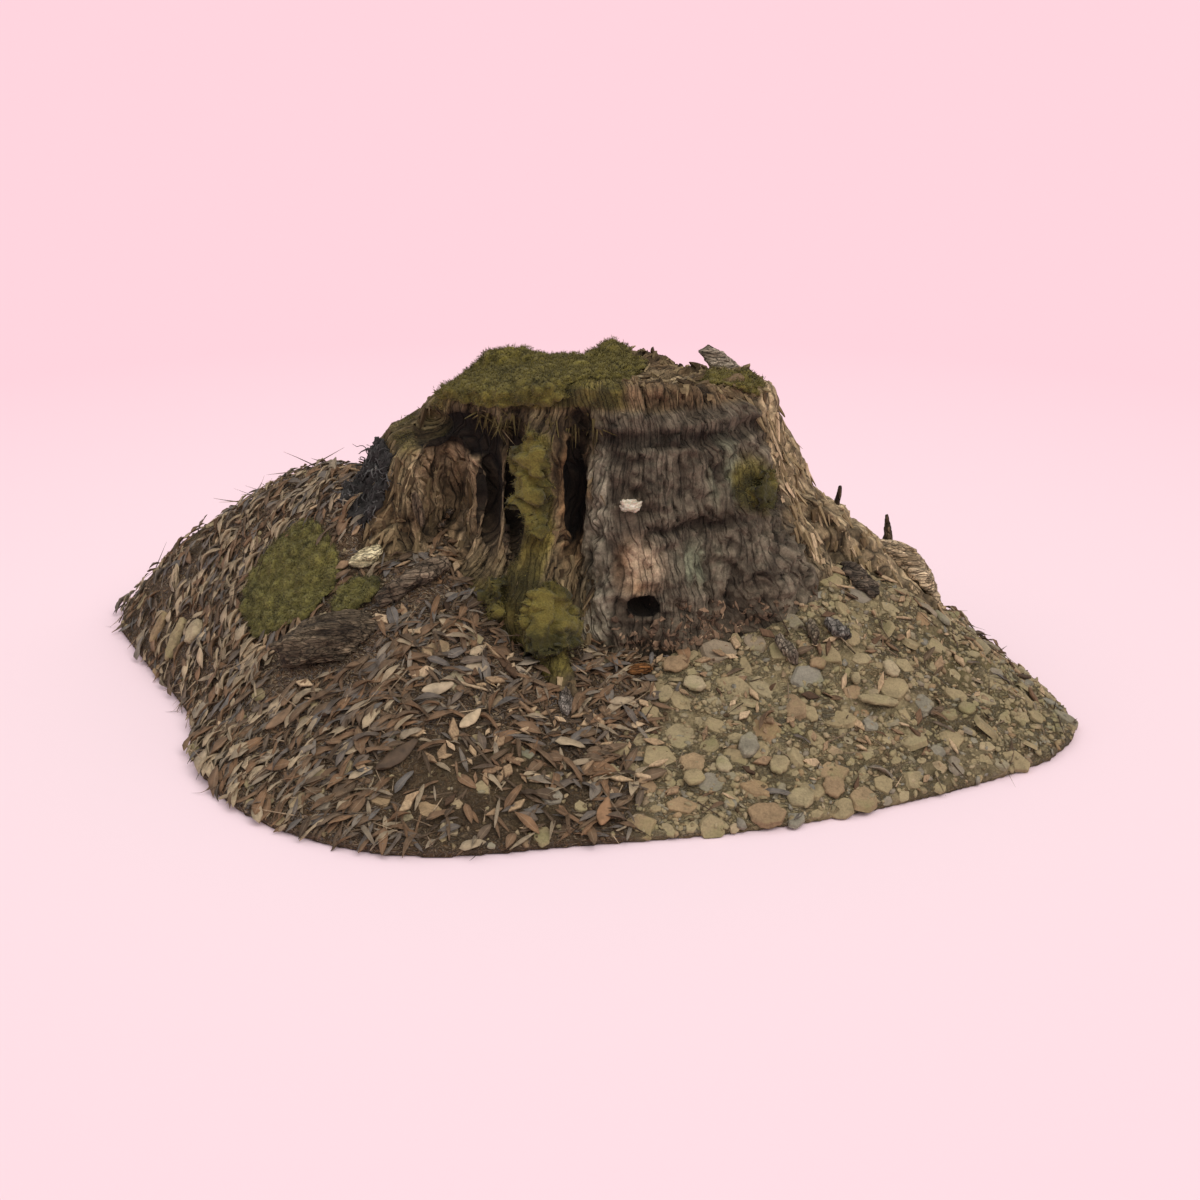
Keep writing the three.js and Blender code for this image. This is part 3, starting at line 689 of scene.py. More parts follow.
def wood_finish(name, coarse=1.0):
    """Painted wood with splintery cells and fine fibres that follow the stored grain."""
    make = Finish(name, 0.88)
    paint = make.stored("paint", "Color")
    moss = make.stored("moss")
    grain = make.stored("grain", "Vector")
    bent = make.mottle(9, 2)
    sway = make.node("CombineXYZ", {"X": make.product(bent, 0.05)}).outputs[0]
    follow = make.node("VectorMath", {0: grain, 1: sway}, operation="ADD").outputs[0]
    cell = make.cells(52 * coarse, follow, output="Color")
    cell_share = make.node("SeparateColor", {"Color": cell}).outputs["Red"]
    gap = make.cells(52 * coarse, follow, "DISTANCE_TO_EDGE")
    fibres = make.mottle(150 * coarse, 4, follow, 0.62)
    strands = make.mottle(60 * coarse, 4, follow, 0.6)
    rough = make.mottle(34, 6, roughness=0.7)
    pits = make.mottle(170, 3)
    unbarked = make.span(make.stored("barked"), 0.2, 0.9, 1.0, 0.2)
    bare = make.product(make.span(moss, 0.0, 0.8, 1.0, 0.15), unbarked)
    colour = make.toned(bare, paint, cell_share, (0.0, 0.72), (1.0, 1.22))
    colour = make.toned(bare, colour, fibres, (0.3, 0.5), (0.5, 0.98), (0.7, 1.5))
    colour = make.toned(bare, colour, strands, (0.3, 0.6), (0.5, 1.0), (0.7, 1.3))
    # Painted shade: the gaps between the splintery cells are darkened.
    colour = make.toned(make.product(bare, 0.8), colour, gap, (0.0, 0.35), (0.09, 1.0))
    colour = make.toned(0.9, colour, rough, (0.3, 0.45), (0.5, 1.0), (0.70, 1.5))
    colour = make.toned(0.5, colour, pits, (0.32, 0.5), (0.7, 1.3))
    chunks = make.sum(make.span(gap, 0, 0.12), make.sum(rough, cell_share))
    height = make.sum(make.sum(fibres, strands), chunks)
    return make.done(colour, make.relief(height, 0.009, 0.9))


def moss_finish(name, moss, tinted=False, dull=0.0):
    """Soft moss, brighter on its tips."""
    make = Finish(name, 0.95, 0.1)
    make.surface.inputs["Sheen Weight"].default_value = 0.08
    make.surface.inputs["Sheen Roughness"].default_value = 0.6
    patches = make.mottle(9, 5)
    fine = make.mottle(240, 3)
    if tinted:
        patches = make.sum(make.product(patches, 0.55), make.product(make.stored("tint"), 0.45))
    patches = make.sum(patches, dull, "SUBTRACT")
    greens = (0.3, moss.dark), (0.44, moss.green), (0.56, moss.green), (0.68, moss.bright)
    colour = make.ramp(patches, *greens, (0.8, tone("6a5a3a")))
    colour = make.toned(0.7, colour, fine, (0.3, 0.5), (0.7, 1.4))
    bank = make.span(make.node("SeparateXYZ", {"Vector": make.place}).outputs["X"], -0.5, -0.4, 1, 0)
    colour = make.mixed(bank, colour, make.mixed(1.0, colour, (1.15, 1.25, 1.6, 1), "MULTIPLY"))
    height = make.sum(fine, make.product(make.cells(55), -1.2))
    return make.done(colour, make.relief(height, 0.006, 0.8))


def soil_finish(name, stones, leaves):
    """Painted soil, with small packed stones on one side and matted leaf strips on the other."""
    make = Finish(name, 0.95, 0.15)
    paint = make.stored("paint", "Color")
    stony, litter = make.stored("stony"), make.stored("litter")
    grit = make.mottle(110, 5, roughness=0.75)
    lumps = make.mottle(24, 5)
    drift = make.node("TexNoise", {"Vector": make.place, "Scale": 16.0}).outputs["Color"]
    reach = make.node("TexNoise", {"Scale": 18.0, "Detail": 2.0}).outputs["Color"]
    wavy = make.node("VectorMath", {0: drift, 1: reach, 2: make.place}, operation="MULTIPLY_ADD").outputs[0]
    colour = make.toned(0.9, paint, lumps, (0.28, 0.55), (0.5, 1.0), (0.75, 1.4))
    pebbles = (0.35, tone("9c8f6e")), (0.6, stones.grey), (0.8, stones.rust), (1.0, tone("75694c"))
    height = make.sum(grit, lumps)
    for scale, patch_scale, most in ((48, 11, 0.75), (19, 7, 0.8)):
        share = make.node("SeparateColor", {"Color": make.cells(scale, wavy, output="Color")}).outputs["Red"]
        edge = make.cells(scale, wavy, "DISTANCE_TO_EDGE")
        worn = make.mixed(0.7, paint, make.ramp(share, (0.0, stones.khaki), *pebbles))
        # Painted shade: the edges of the painted stones are darkened, as in the gaps between them.
        stone = make.mixed(make.span(edge, 0.012, 0.05, 0.75, 0.0), worn, tone("3f3525"))
        patches = make.span(make.mottle(patch_scale, 3), 0.44, 0.52)
        seen = make.product(make.product(stony, patches), most)
        colour = make.mixed(seen, colour, stone)
        height = make.sum(height, make.product(make.sum(make.span(edge, 0.0, 0.14), share), seen))
    lie = {"Vector": wavy, "Rotation": (0, 0, math.radians(-42)), "Scale": (0.22, 1.0, 0.6)}
    strip = make.node("Mapping", lie).outputs["Vector"]
    share = make.node("SeparateColor", {"Color": make.cells(75, strip, output="Color")}).outputs["Green"]
    edge = make.cells(75, strip, "DISTANCE_TO_EDGE")
    matted = (0.25, leaves.brown), (0.5, leaves.slate), (0.7, leaves.rust), (0.9, leaves.tan)
    leaf = make.ramp(share, (0.0, tone("3b2e22")), *matted)
    # Painted shade: the edges of the matted leaf strips are painted nearly black, as under the overlapping
    # leaves.
    leaf = make.mixed(make.span(edge, 0.0, 0.10, 0.8, 0.0), leaf, tone("241b13"))
    colour = make.mixed(make.product(litter, 0.85), colour, leaf)
    height = make.sum(height, make.product(make.sum(make.span(edge, 0.0, 0.15), share), litter))
    colour = make.toned(0.75, colour, grit, (0.3, 0.5), (0.52, 1.0), (0.72, 1.5))
    return make.done(colour, make.relief(height, 0.011, 0.9))


def stone_finish(name, stones):
    """Flat stone, its colour picked by its tint, stained and lichened."""
    make = Finish(name, 0.82, 0.3)
    kinds = (0.5, tone("918263")), (0.66, stones.grey), (0.82, stones.rust), (1.0, tone("a09073"))
    colour = make.ramp(make.stored("tint"), (0.0, stones.khaki), *kinds)
    stain = make.mottle(22, 6, roughness=0.7)
    pits = make.mottle(190, 3)
    colour = make.toned(0.85, colour, stain, (0.3, 0.55), (0.5, 1.0), (0.7, 1.3))
    colour = make.mixed(make.span(make.mottle(11, 4), 0.52, 0.68, 0, 0.6), colour, tone("6d6a44"))
    colour = make.toned(0.4, colour, pits, (0.3, 0.55), (0.6, 1.2))
    height = make.sum(stain, make.product(pits, 0.4))
    return make.done(colour, make.relief(height, 0.005, 0.8))


def leaf_finish(name, leaves):
    """Dry leaf, its colour picked by its tint, with veins along its own length."""
    make = Finish(name, 0.7, 0.35)
    colour = make.ramp(
        make.stored("tint"),
        (0.0, tone("3f3023")),
        (0.2, leaves.brown),
        (0.42, leaves.rust),
        (0.58, leaves.brown),
        (0.74, leaves.slate),
        (0.86, leaves.tan),
        (1.0, tone("bfa888")),
    )
    own = make.node("UVMap", uv_map="UVMap").outputs["UV"]
    split = make.node("SeparateXYZ", {"Vector": own})
    aside = make.sum(split.outputs["Y"], 0.5, "SUBTRACT")
    away = make.node("Math", {0: aside}, operation="ABSOLUTE").outputs[0]
    rib = make.span(away, 0.0, 0.07, 1.0, 0.0)
    ribbed = {"Scale": 5.0, "Distortion": 1.5, "Vector": make.slanted(split, away)}
    veins = make.node("TexWave", ribbed).outputs["Fac"]
    blotch = make.mottle(38, 5)
    colour = make.toned(0.85, colour, blotch, (0.3, 0.5), (0.5, 1.0), (0.72, 1.4))
    colour = make.mixed(make.product(rib, 0.35), colour, leaves.tan)
    colour = make.toned(0.3, colour, veins, (0.2, 0.7), (0.8, 1.15))
    height = make.sum(make.product(veins, 0.5), make.sum(blotch, rib))
    return make.done(colour, make.relief(height, 0.002, 0.7))


def sliver_finish(name, pale, brown, dark):
    """Splinter wood picked by its tint, with fine fibres."""
    make = Finish(name, 0.88)
    colour = make.ramp(make.stored("tint"), (0.0, dark), (0.35, brown), (0.7, pale), (1.0, tone("c2a888")))
    fibres = make.mottle(1, 4, make.stretched((160, 160, 22)), 0.6)
    colour = make.toned(0.8, colour, fibres, (0.3, 0.5), (0.7, 1.35))
    return make.done(colour, make.relief(fibres, 0.003, 0.8))


# The stage


def soft_light(name, direction, strength, spread, colour):
    """Soft light from far away that shines along the direction."""
    lamp = bpy.data.lights.new(name, "SUN")
    lamp.angle = math.radians(spread)
    lamp.energy = strength
    lamp.color = colour
    holder = bpy.data.objects.new(name, lamp)
    holder.rotation_mode = "QUATERNION"
    holder.rotation_quaternion = Vector(direction).to_track_quat("-Z", "Y")
    bpy.context.scene.collection.objects.link(holder)


def build_stage(stage):
    """Floor, sky, lamps and camera."""
    low, high = CAD_BOX
    middle = (low + high) / 2
    bm = bmesh.new()
    bmesh.ops.create_circle(bm, cap_ends=True, radius=60, segments=96)
    bmesh.ops.translate(bm, verts=bm.verts, vec=(middle.x, middle.y, low.z - 0.002))
    floor = new_piece("floor", mesh_from(bm, "floor"))
    make = Finish("floor_finish", 1.0, 0.0)
    away = make.node("VectorMath", {0: make.place}, operation="LENGTH").outputs["Value"]
    # Painted light: a paler pool of light painted on the floor near the middle, easing out to the floor
    # colour.
    painted_light_pool = make.ramp(make.sum(away, 6.0, "DIVIDE"), (0.15, stage.painted_light_pool), (0.75, stage.floor))
    floor.data.materials.append(make.done(painted_light_pool))

    world = bpy.data.worlds.new("sky")
    world.use_nodes = True
    links, nodes = world.node_tree.links, world.node_tree.nodes
    back = nodes["Background"]
    back.inputs["Color"].default_value = (1.0, 0.97, 0.96, 1)
    back.inputs["Strength"].default_value = stage.sky
    seen = nodes.new("ShaderNodeBackground")
    seen.inputs["Color"].default_value = (*stage.backdrop, 1)
    path = nodes.new("ShaderNodeLightPath")
    choose = nodes.new("ShaderNodeMixShader")
    links.new(path.outputs["Is Camera Ray"], choose.inputs["Fac"])
    links.new(back.outputs["Background"], choose.inputs[1])
    links.new(seen.outputs["Background"], choose.inputs[2])
    links.new(choose.outputs["Shader"], nodes["World Output"].inputs["Surface"])
    bpy.context.scene.world = world
    bpy.context.scene.view_settings.view_transform = "Standard"

    soft_light("key_light", (-0.55, 0.75, -1.15), stage.key, 50, (1.0, 0.98, 0.95))
    soft_light("fill_light", (1.0, 0.35, -0.7), stage.fill, 80, (0.94, 0.97, 1.0))

    view = bpy.data.cameras.new("camera")
    view.lens = stage.lens
    view.sensor_width = 36
    view.clip_end = 200
    holder = bpy.data.objects.new("camera", view)
    target = Vector((middle.x + 0.104, low.y + 0.526, low.z + 0.45))
    away = Vector((0, -math.cos(stage.rise), math.sin(stage.rise)))
    holder.location = target + away * stage.distance
    holder.rotation_mode = "QUATERNION"
    holder.rotation_quaternion = (-away).to_track_quat("-Z", "Y")
    bpy.context.scene.collection.objects.link(holder)
    bpy.context.scene.camera = holder


# The trunk and its roots


def trunk_coordinates(points):
    """Angle round the trunk, reach from its axis, and a place in which the grain runs along one axis."""
    away = points - TRUNK_MIDDLE
    reach = np.hypot(away[:, 0], away[:, 1])
    angle = angle_round(points)
    wander = angle + 5 * fractal(points, 0.28, 11)
    turn = np.radians(wander)
    up = 0.13 * (points[:, 2] - 0.8 * np.maximum(reach, 0.46))
    fan = np.stack([0.42 * np.cos(turn), 0.42 * np.sin(turn), up], axis=1)
    straight = (points - GREAT_HOLLOW) * np.array([1, 0.2, 0.13]) + np.array([-0.367, -0.204, 0.03])
    fan += spot(points, GREAT_HOLLOW, (0.16, 0.25, 0.26))[:, None] * (straight - fan)
    return angle, reach, fan


def trunk_zones(points, angle, reach):
    """How much of each kind of wood each point has."""
    x, z = points[:, 0], points[:, 2]
    ragged = fractal(points, 0.09, 21)
    zones = {}
    slab_bark = band(turned(angle, SLAB_ANGLE), -37 + 5 * ragged, 37 + 5 * ragged, 7)
    slab_bark = slab_bark * band(z, 0.2, 0.875, 0.03) * smooth((reach - 0.24) / 0.08)
    back_bark = band(turned(angle, BACK_ANGLE), -66, 66, 14) * band(z, 0.0, 0.84, 0.08)
    back_bark = back_bark * smooth(0.75 + 1.3 * ragged)
    zones["slab"] = slab_bark
    zones["bark"] = np.maximum(slab_bark, back_bark)
    zones["flank"] = band(turned(angle, FLANK_ANGLE), -19 + 4 * ragged, 24, 6) * (1 - slab_bark)
    zones["top"] = smooth((z - 0.865 + 0.02 * ragged) / 0.03)
    zones["recess"] = spot(points, (0.205, -0.42, 0.49), (0.1, 0.14, 0.11))
    zones["crevice"] = spot(points, (0.038, -0.30, 0.66), (0.06, 0.17, 0.25))
    caves = (
        (GREAT_HOLLOW, (0.125, 0.2, 0.22)),
        ((-0.186, -0.25, 0.64), (0.05, 0.16, 0.2)),
        ((-0.118, -0.27, 0.64), (0.045, 0.16, 0.2)),
        ((0.13, 0.33, 0.69), (0.14, 0.15, 0.18)),
    )
    zones["cave"] = any_spot(points, *caves)
    # Painted shade: the deepest parts of the hollows, slots and crevices, which the trunk paints nearly
    # black.
    black = (
        ((-0.35, -0.19, 0.79), (0.1, 0.2, 0.075)),
        ((-0.186, -0.26, 0.67), (0.05, 0.2, 0.24)),
        ((-0.118, -0.28, 0.67), (0.045, 0.2, 0.24)),
        ((-0.27, -0.19, 0.775), (0.17, 0.2, 0.085)),
        ((0.038, -0.24, 0.66), (0.04, 0.10, 0.18)),
        ((0.218, -0.41, 0.388), (0.055, 0.12, 0.034)),
    )
    zones["black"] = np.clip(1.7 * any_spot(points, *black), 0, 1)
    rib = band(turned(angle, RIB_ANGLE), -8, 8, 6) * band(z, 0.25, 0.84, 0.1) * smooth((reach - 0.3) / 0.06)
    foot = spot(points, (-0.03, -0.45, 0.32), (0.14, 0.2, 0.2))
    left = spot(points, (-0.30, -0.33, 0.40), (0.2, 0.14, 0.10))
    back = band(turned(angle, 130), -75, 75, 20) * smooth((z - 0.55) / 0.3) * 0.8
    right = spot(points, (0.50, -0.22, 0.66), (0.10, 0.1, 0.14))
    cap = smooth((z - 0.86) / 0.03) * smooth((0.24 - x) / 0.12)
    grown = np.max([rib, foot, 0.9 * left, back, right, cap], axis=0)
    zones["moss"] = smooth(grown * 1.5 - 0.55 + 0.55 * ragged)
    lichens = ((0.44, -0.36, 0.72), (0.08, 0.2, 0.17)), ((0.36, -0.42, 0.49), (0.1, 0.2, 0.09))
    zones["lichen"] = any_spot(points, *lichens)
    zones["edge"] = band(turned(angle, 269), -7, 5, 5) * band(z, 0.25, 0.75, 0.1)
    return zones


def shape_trunk(wood, moss):
    """The trunk's shell, its hollows and its roots, with grain, cracks and bark plates."""
    piece = even_skin(merged_copy("stump", "trunk_and_roots"), wood.grain, 1)
    thin_buried(piece, touching(points_of(piece.data), "ground_mound", CONTACT_GAP))
    points, outward = points_of(piece.data), normals_of(piece.data)
    angle, reach, fan = trunk_coordinates(points)
    zones = trunk_zones(points, angle, reach)
    bark, flank = zones["bark"], zones["flank"]
    bare = 1 - bark
    warp = np.stack([fractal(points, 0.07, seed) for seed in (8, 9, 10)], axis=1)
    bent = fan + 0.010 * warp
    ridges = 1 - 2.2 * np.abs(fractal(bent, 0.052, 1, 2))
    fine = fractal(bent, 0.019, 2, 2)
    seams = smooth((0.12 - np.abs(fractal(bent, 0.066, 3, 1))) / 0.12)
    lumps = fractal(points, 0.05, 4, 3)
    edge, number = plates(bent, 0.034, 5)
    gaps = smooth((0.13 - edge) / 0.13)
    slab_edge, slab_number = plates(fan + 0.02 * warp, 0.085, 15)
    slab_gaps = smooth((0.09 - slab_edge) / 0.09)
    chip_edge, chip_number = plates(points + 0.016 * warp, (0.045, 0.045, 0.075), 16)
    chip_gaps = smooth((0.12 - chip_edge) / 0.12) * smooth(0.3 + 1.3 * lumps)
    height = bare * (wood.ridge * ridges + 0.5 * wood.ridge * fine - 0.8 * wood.crack * seams)
    height += bare * (0.011 + 0.012 * flank) * (number - 0.5) - 0.006 * bare * gaps
    height += bark * (0.25 * wood.ridge * ridges + 0.2 * wood.ridge * fine + 0.014 * (slab_number - 0.5))
    height += bark * (0.014 * (chip_number - 0.5) - 0.007 * chip_gaps)
    height -= 0.012 * flank * band(points[:, 2], 0.52, 0.8, 0.1)
    height += 0.009 * flank * (1 - 2.4 * np.abs(fractal(bent, 0.095, 13, 2)))
    height += bark * (0.016 * lumps + 0.006 * fractal(points, 0.024, 12, 2))
    height -= 0.8 * wood.crack * bark * slab_gaps * smooth(0.4 + 1.2 * lumps)
    height += 0.009 * lumps - 0.003 + 0.004 * flank
    hollows = np.maximum(zones["cave"], zones["black"])
    height *= (1 - 0.7 * zones["moss"]) * (1 - 0.65 * hollows)
    height -= 0.010 * hollows + 0.006 * zones["black"]
    lip = band(points[:, 2], 0.828, 0.87, 0.02) * zones["slab"]
    under = band(points[:, 2], 0.785, 0.822, 0.02) * zones["slab"]
    step = band(points[:, 2] + 0.02 * lumps, 0.565, 0.592, 0.012)
    step = step * band(turned(angle, SLAB_ANGLE), -14, 16, 6) * zones["slab"]
    height += 0.013 * lip - 0.020 * under - 0.018 * step
    move_to(piece.data, points + outward * np.clip(height, -0.026, 0.018)[:, None])

    streak = smooth(0.5 + 1.1 * fractal(fan, 0.03, 6, 2))
    patch = smooth(0.5 + 1.2 * fractal(points, 0.12, 7, 3))
    paint = blend(wood.brown, wood.pale, 0.75 * streak + 0.25 * patch)
    worn = 0.15 * streak + 0.5 * patch * chip_number + 0.25 * slab_number
    paint = blend(paint, blend(wood.bark, wood.bark_pale, worn), bark)
    paint = blend(paint, blend(wood.brown, wood.flank, 0.25 + 0.75 * streak), zones["flank"] * 0.95)
    paint = blend(paint, blend(wood.brown, tone("8d7356"), 0.2 + 0.6 * streak), zones["top"])
    paint = blend(paint, blend(wood.orange, tone("bba184"), 0.35 + patch), zones["recess"] * 0.9)
    paint = blend(paint, blend(wood.orange, tone("5d3a20"), 1 - streak), zones["crevice"] * 0.8)
    # Painted light: the hollows' walls get pale rotten wood, painted paler still to lift them out of their
    # shade.
    paint = blend(paint, blend(tone("94724e"), tone("ffdcb2"), 0.3 + 0.7 * streak), zones["cave"] * 0.92)
    paint = blend(paint, tone("a59a84"), zones["edge"] * smooth(0.65 + patch - 0.5 * streak) * 0.85)
    paint = blend(paint, np.array(wood.lichen), zones["lichen"] * smooth(0.2 + streak) * 0.8)
    soiled = smooth((0.36 - points[:, 2]) / 0.16) * smooth(0.35 + patch)
    paint = blend(paint, tone("5a4a37"), 0.75 * soiled)
    # Painted shade: cracks, gaps between plates and bark chips, the slab's step and the underside of its lip,
    # and every sunken place are darkened towards the dark wood colour.
    barky = bark * (0.7 * slab_gaps + 0.5 * chip_gaps) * (1 - zones["recess"])
    shaded = 0.8 * step + 0.9 * under * smooth(0.6 + lumps)
    deep = np.clip(bare * (seams + 0.4 * gaps) + barky + shaded, 0, 1)
    sunk = smooth((-0.004 - height) / 0.014) * (1 - zones["cave"])
    painted_shade = np.maximum(0.8 * deep, 0.6 * sunk) * (1 - zones["moss"]) * (1 - 0.4 * flank)
    paint = blend(paint, np.array(wood.dark), painted_shade)
    # Painted shade: inner walls of the hollows that turn away from the front, and a painted shadow under the
    # cap over the hollow front, blended towards the dark wood colour along with the nearly black shade.
    facing = np.abs(outward @ np.array([0.35, 0.94, 0]))
    inside = hollows * (1 - smooth((facing - 0.05) / 0.5))
    shade = band(turned(angle, HOLLOW_ANGLE), -40, 38, 8) * band(points[:, 2], 0.775, 0.86, 0.03)
    shade = np.maximum(shade * (1 - zones["moss"]), 1.1 * inside)
    paint = blend(paint, np.array(wood.dark), np.maximum(0.97 * zones["black"], 0.5 * shade))
    greens = blend(blend(moss.dark, moss.green, patch * 1.4), np.array(moss.bright), streak * patch)
    paint = blend(paint, greens, 0.92 * zones["moss"] * (1 - zones["black"]))
    keep_values(piece.data, "paint", paint)
    keep_grain(piece.data, fan)
    keep_values(piece.data, "moss", zones["moss"])
    broken = 1 - bark - zones["moss"] - zones["black"] - zones["cave"]
    keep_values(piece.data, "broken", np.clip(broken, 0, 1))
    keep_values(piece.data, "all", np.ones(len(points)))
    keep_values(piece.data, "barked", np.clip(np.maximum(bark, 0.85 * zones["top"]) - zones["moss"], 0, 1))
    complete(piece, "stump_wood", wood_finish("trunk_finish"), "stump")


# The soil


def ground_zones(points):
    """Shares of leaf litter, stones and bare soil at each point of the ground."""
    x, y = points[:, 0], points[:, 1]
    flat = points * np.array([1, 1, 0])
    ragged = fractal(flat, 0.22, 31, 3)
    front = smooth((-0.1 + 0.42 * smooth((x - 0.45) / 0.25) - y) / 0.2)
    stony = smooth((x - 0.13 + 0.17 * ragged) / 0.16) * front
    bare_front = spot(flat, (-0.16, -0.86, 0), (0.42, 0.25, 1)) * (1 - stony)
    far_right = smooth((x - 0.78 - 0.25 * (y + 0.5) + 0.12 * ragged) / 0.18) * stony
    behind = smooth((y - 0.05) / 0.2)
    litter = np.clip(1 - stony - 0.8 * bare_front, 0, 1)
    litter = litter * (1 - 0.35 * behind * smooth(0.5 + ragged))
    mossy = behind * smooth(0.9 * ragged) + spot(flat, (1.2, -0.25, 0), (0.3, 0.25, 1)) * smooth(0.3 + ragged)
    zones = {"stony": stony, "far_right": far_right, "bare": bare_front, "litter": litter}
    zones["moss"] = np.clip(mossy, 0, 1)
    return zones


def shape_soil(ground, moss, stones, leaves):
    """The mound of soil, with lumps and its flat underside."""
    piece = even_skin(merged_copy("ground_mound", "soil_patch"), ground.grain, 1)
    skin = points_of(piece.data)
    thin_buried(piece, touching(skin, "stump", CONTACT_GAP) | (skin[:, 2] < CAD_BOX[0].z + 0.008))
    points, outward = points_of(piece.data), normals_of(piece.data)
    upward = smooth((outward[:, 2] - 0.1) / 0.3) * smooth((points[:, 2] - 0.012) / 0.03)
    zones = ground_zones(points)
    lumps = fractal(points, 0.11, 32, 4)
    edge, _ = plates(points * np.array([1, 1, 0.3]), 0.07, 33)
    gaps = smooth((0.12 - edge) / 0.12) * zones["stony"]
    height = ground.lump * lumps - 0.006 * gaps - 0.002
    points = points + UP * (height * upward)[:, None]
    move_to(piece.data, points)
    cloud = smooth(0.5 + 1.1 * fractal(points, 0.16, 34, 3))
    paint = blend(ground.humus, ground.soil, 0.35 + 0.65 * cloud)
    stony = blend(tone("86775a"), ground.olive, 0.25 + 0.75 * cloud)
    paint = blend(paint, stony, zones["stony"])
    paint = blend(paint, tone("4d432d"), 0.55 * zones["bare"] * cloud)
    paint = blend(paint, blend(tone("5e533d"), tone("83745a"), cloud), 0.75 * zones["far_right"])
    paint = blend(paint, blend(moss.dark, moss.green, cloud), 0.8 * zones["moss"])
    paint = blend(paint, tone("6a5c42"), 0.25 * gaps)
    keep_values(piece.data, "paint", paint)
    keep_values(piece.data, "stony", zones["stony"])
    keep_values(piece.data, "litter", zones["litter"] * (1 - zones["moss"]))
    complete(piece, "soil", soil_finish("soil_finish", stones, leaves), "ground_mound")


# Moss


THIN_MOSS = ("moss_rib_front", "moss_root_front", "moss_patch_left_front", "moss_flank_right")
MOSS_CUSHIONS = ("moss_cap_top", "moss_knob_right", *THIN_MOSS, "moss_bank_left", "moss_lobe_left")


def grow_moss(moss):
    """A lumpy cushion for each moss node, and shoots all over them."""
    draws = np.random.default_rng(41)
    finish = moss_finish("moss_finish", moss)
    thin_finish = moss_finish("thin_moss_finish", moss, dull=0.12)
    thick_places, thin_places = [], []
    for index, node in enumerate(MOSS_CUSHIONS):
        piece = even_skin(merged_copy(node, node + "_cushion"), moss.grain, 2)
        points, outward = points_of(piece.data), normals_of(piece.data)
        swell = fractal(points, 0.075, 42 + index, 3)
        cells, _ = plates(points, 0.042, 50)
        height = moss.cushion * (0.55 * swell + 0.9 * smooth(cells / 0.5) - 0.45)
        if node in THIN_MOSS:
            torn = fractal(points, (0.03, 0.03, 0.06), 52 + index, 3)
            worn = 0.020 + 0.024 * smooth((0.2 - torn) / 0.25)
            height = 0.1 * height + 0.006 * fractal(points, 0.016, 61, 2) - worn
        move_to(piece.data, points + outward * height[:, None])
        complete(piece, "moss", thin_finish if node in THIN_MOSS else finish, node)
        points, outward = points_of(piece.data), normals_of(piece.data)
        open_air = outward[:, 2] > -0.35
        if node in THIN_MOSS:
            open_air = outward[:, 1] < 0.2
        places = thin_places if node in THIN_MOSS else thick_places
        places.append((points[open_air], outward[open_air]))
    finish = moss_finish("moss_shoot_finish", moss, True)
    roots, ways = (np.concatenate(parts) for parts in zip(*thick_places))
    shoots_on("moss_shoots", roots, ways, moss, moss.sprigs, finish, draws)
    mesh = bpy.data.objects["trunk_and_roots"].data
    mossy = (kept_values(mesh, "moss") > 0.55) & (points_of(mesh)[:, 2] > 0.24)
    finish = moss_finish("wood_moss_finish", moss, True, 0.08)
    roots, ways = (np.concatenate(parts) for parts in zip(*thin_places))
    shoots_on("thin_moss_shoots", roots, ways, moss, moss.sprigs // 5, finish, draws)
    roots, ways = points_of(mesh)[mossy], normals_of(mesh)[mossy]
    shoots_on("wood_moss_shoots", roots, ways, moss, moss.sprigs // 3, finish, draws)


def shoots_on(name, places, outward, moss, count, finish, draws):
    """Moss shoots that stand on the given places."""
    pick = draws.integers(0, len(places), count)
    spots = places[pick] + draws.normal(0, 0.003, (count, 3))
    turns = loose_turns(outward[pick], 0.45, draws)
    long = moss.sprig * draws.uniform(0.5, 1.25, count)
    scales = np.stack([0.24 * long, 0.24 * long, long], axis=1)
    tints = np.clip(0.5 + 0.5 * fractal(spots, 0.05, 43) + draws.normal(0, 0.18, count), 0, 1)
    complete(strewn(name, [sprig_template("shoot")], spots, turns, scales, tints, draws), "moss", finish)


# Loose wood and bark


WOOD_LOOKS = {
    "splinter_top_right": ("stump_wood", "d0bea8", "7d6b58", (14, 90, 90)),
    "rotten_slab_right": ("rotten_wood", "ead0ac", "957a5a", (12, 70, 70)),
    "standing_peg_right": ("rotten_wood", "6e5a45", "30261c", (90, 90, 14)),
    "small_peg_right": ("rotten_wood", "5d4b39", "2a2119", (90, 90, 14)),
    "root_stub_left": ("weathered_wood", "84725c", "43362a", (14, 80, 80)),
    "fallen_branch_left": ("weathered_wood", "8c7a66", "4b3d30", (20, 60, 40)),
    "leaning_chip_left": ("weathered_wood", "a08a70", "5a4838", (90, 90, 16)),
    "wood_slab_left": ("weathered_wood", "fff0c4", "d8c396", (12, 80, 80)),
    "weathered_chip_front": ("weathered_wood", "a79b90", "6a5d52", (90, 16, 90)),
    "orange_chip_foot": ("rotten_wood", "a8723f", "6b4425", (16, 80, 80)),
    "bark_plate_right": ("bark", "786858", "443a30", (20, 60, 60)),
    "bark_chunk_foot_1": ("bark", "a39380", "64564a", (60, 60, 20)),
    "bark_chunk_foot_2": ("bark", "a8977f", "6a5a4a", (60, 60, 20)),
    "bark_chunk_foot_3": ("bark", "a29a90", "6a625a", (60, 60, 20)),
}


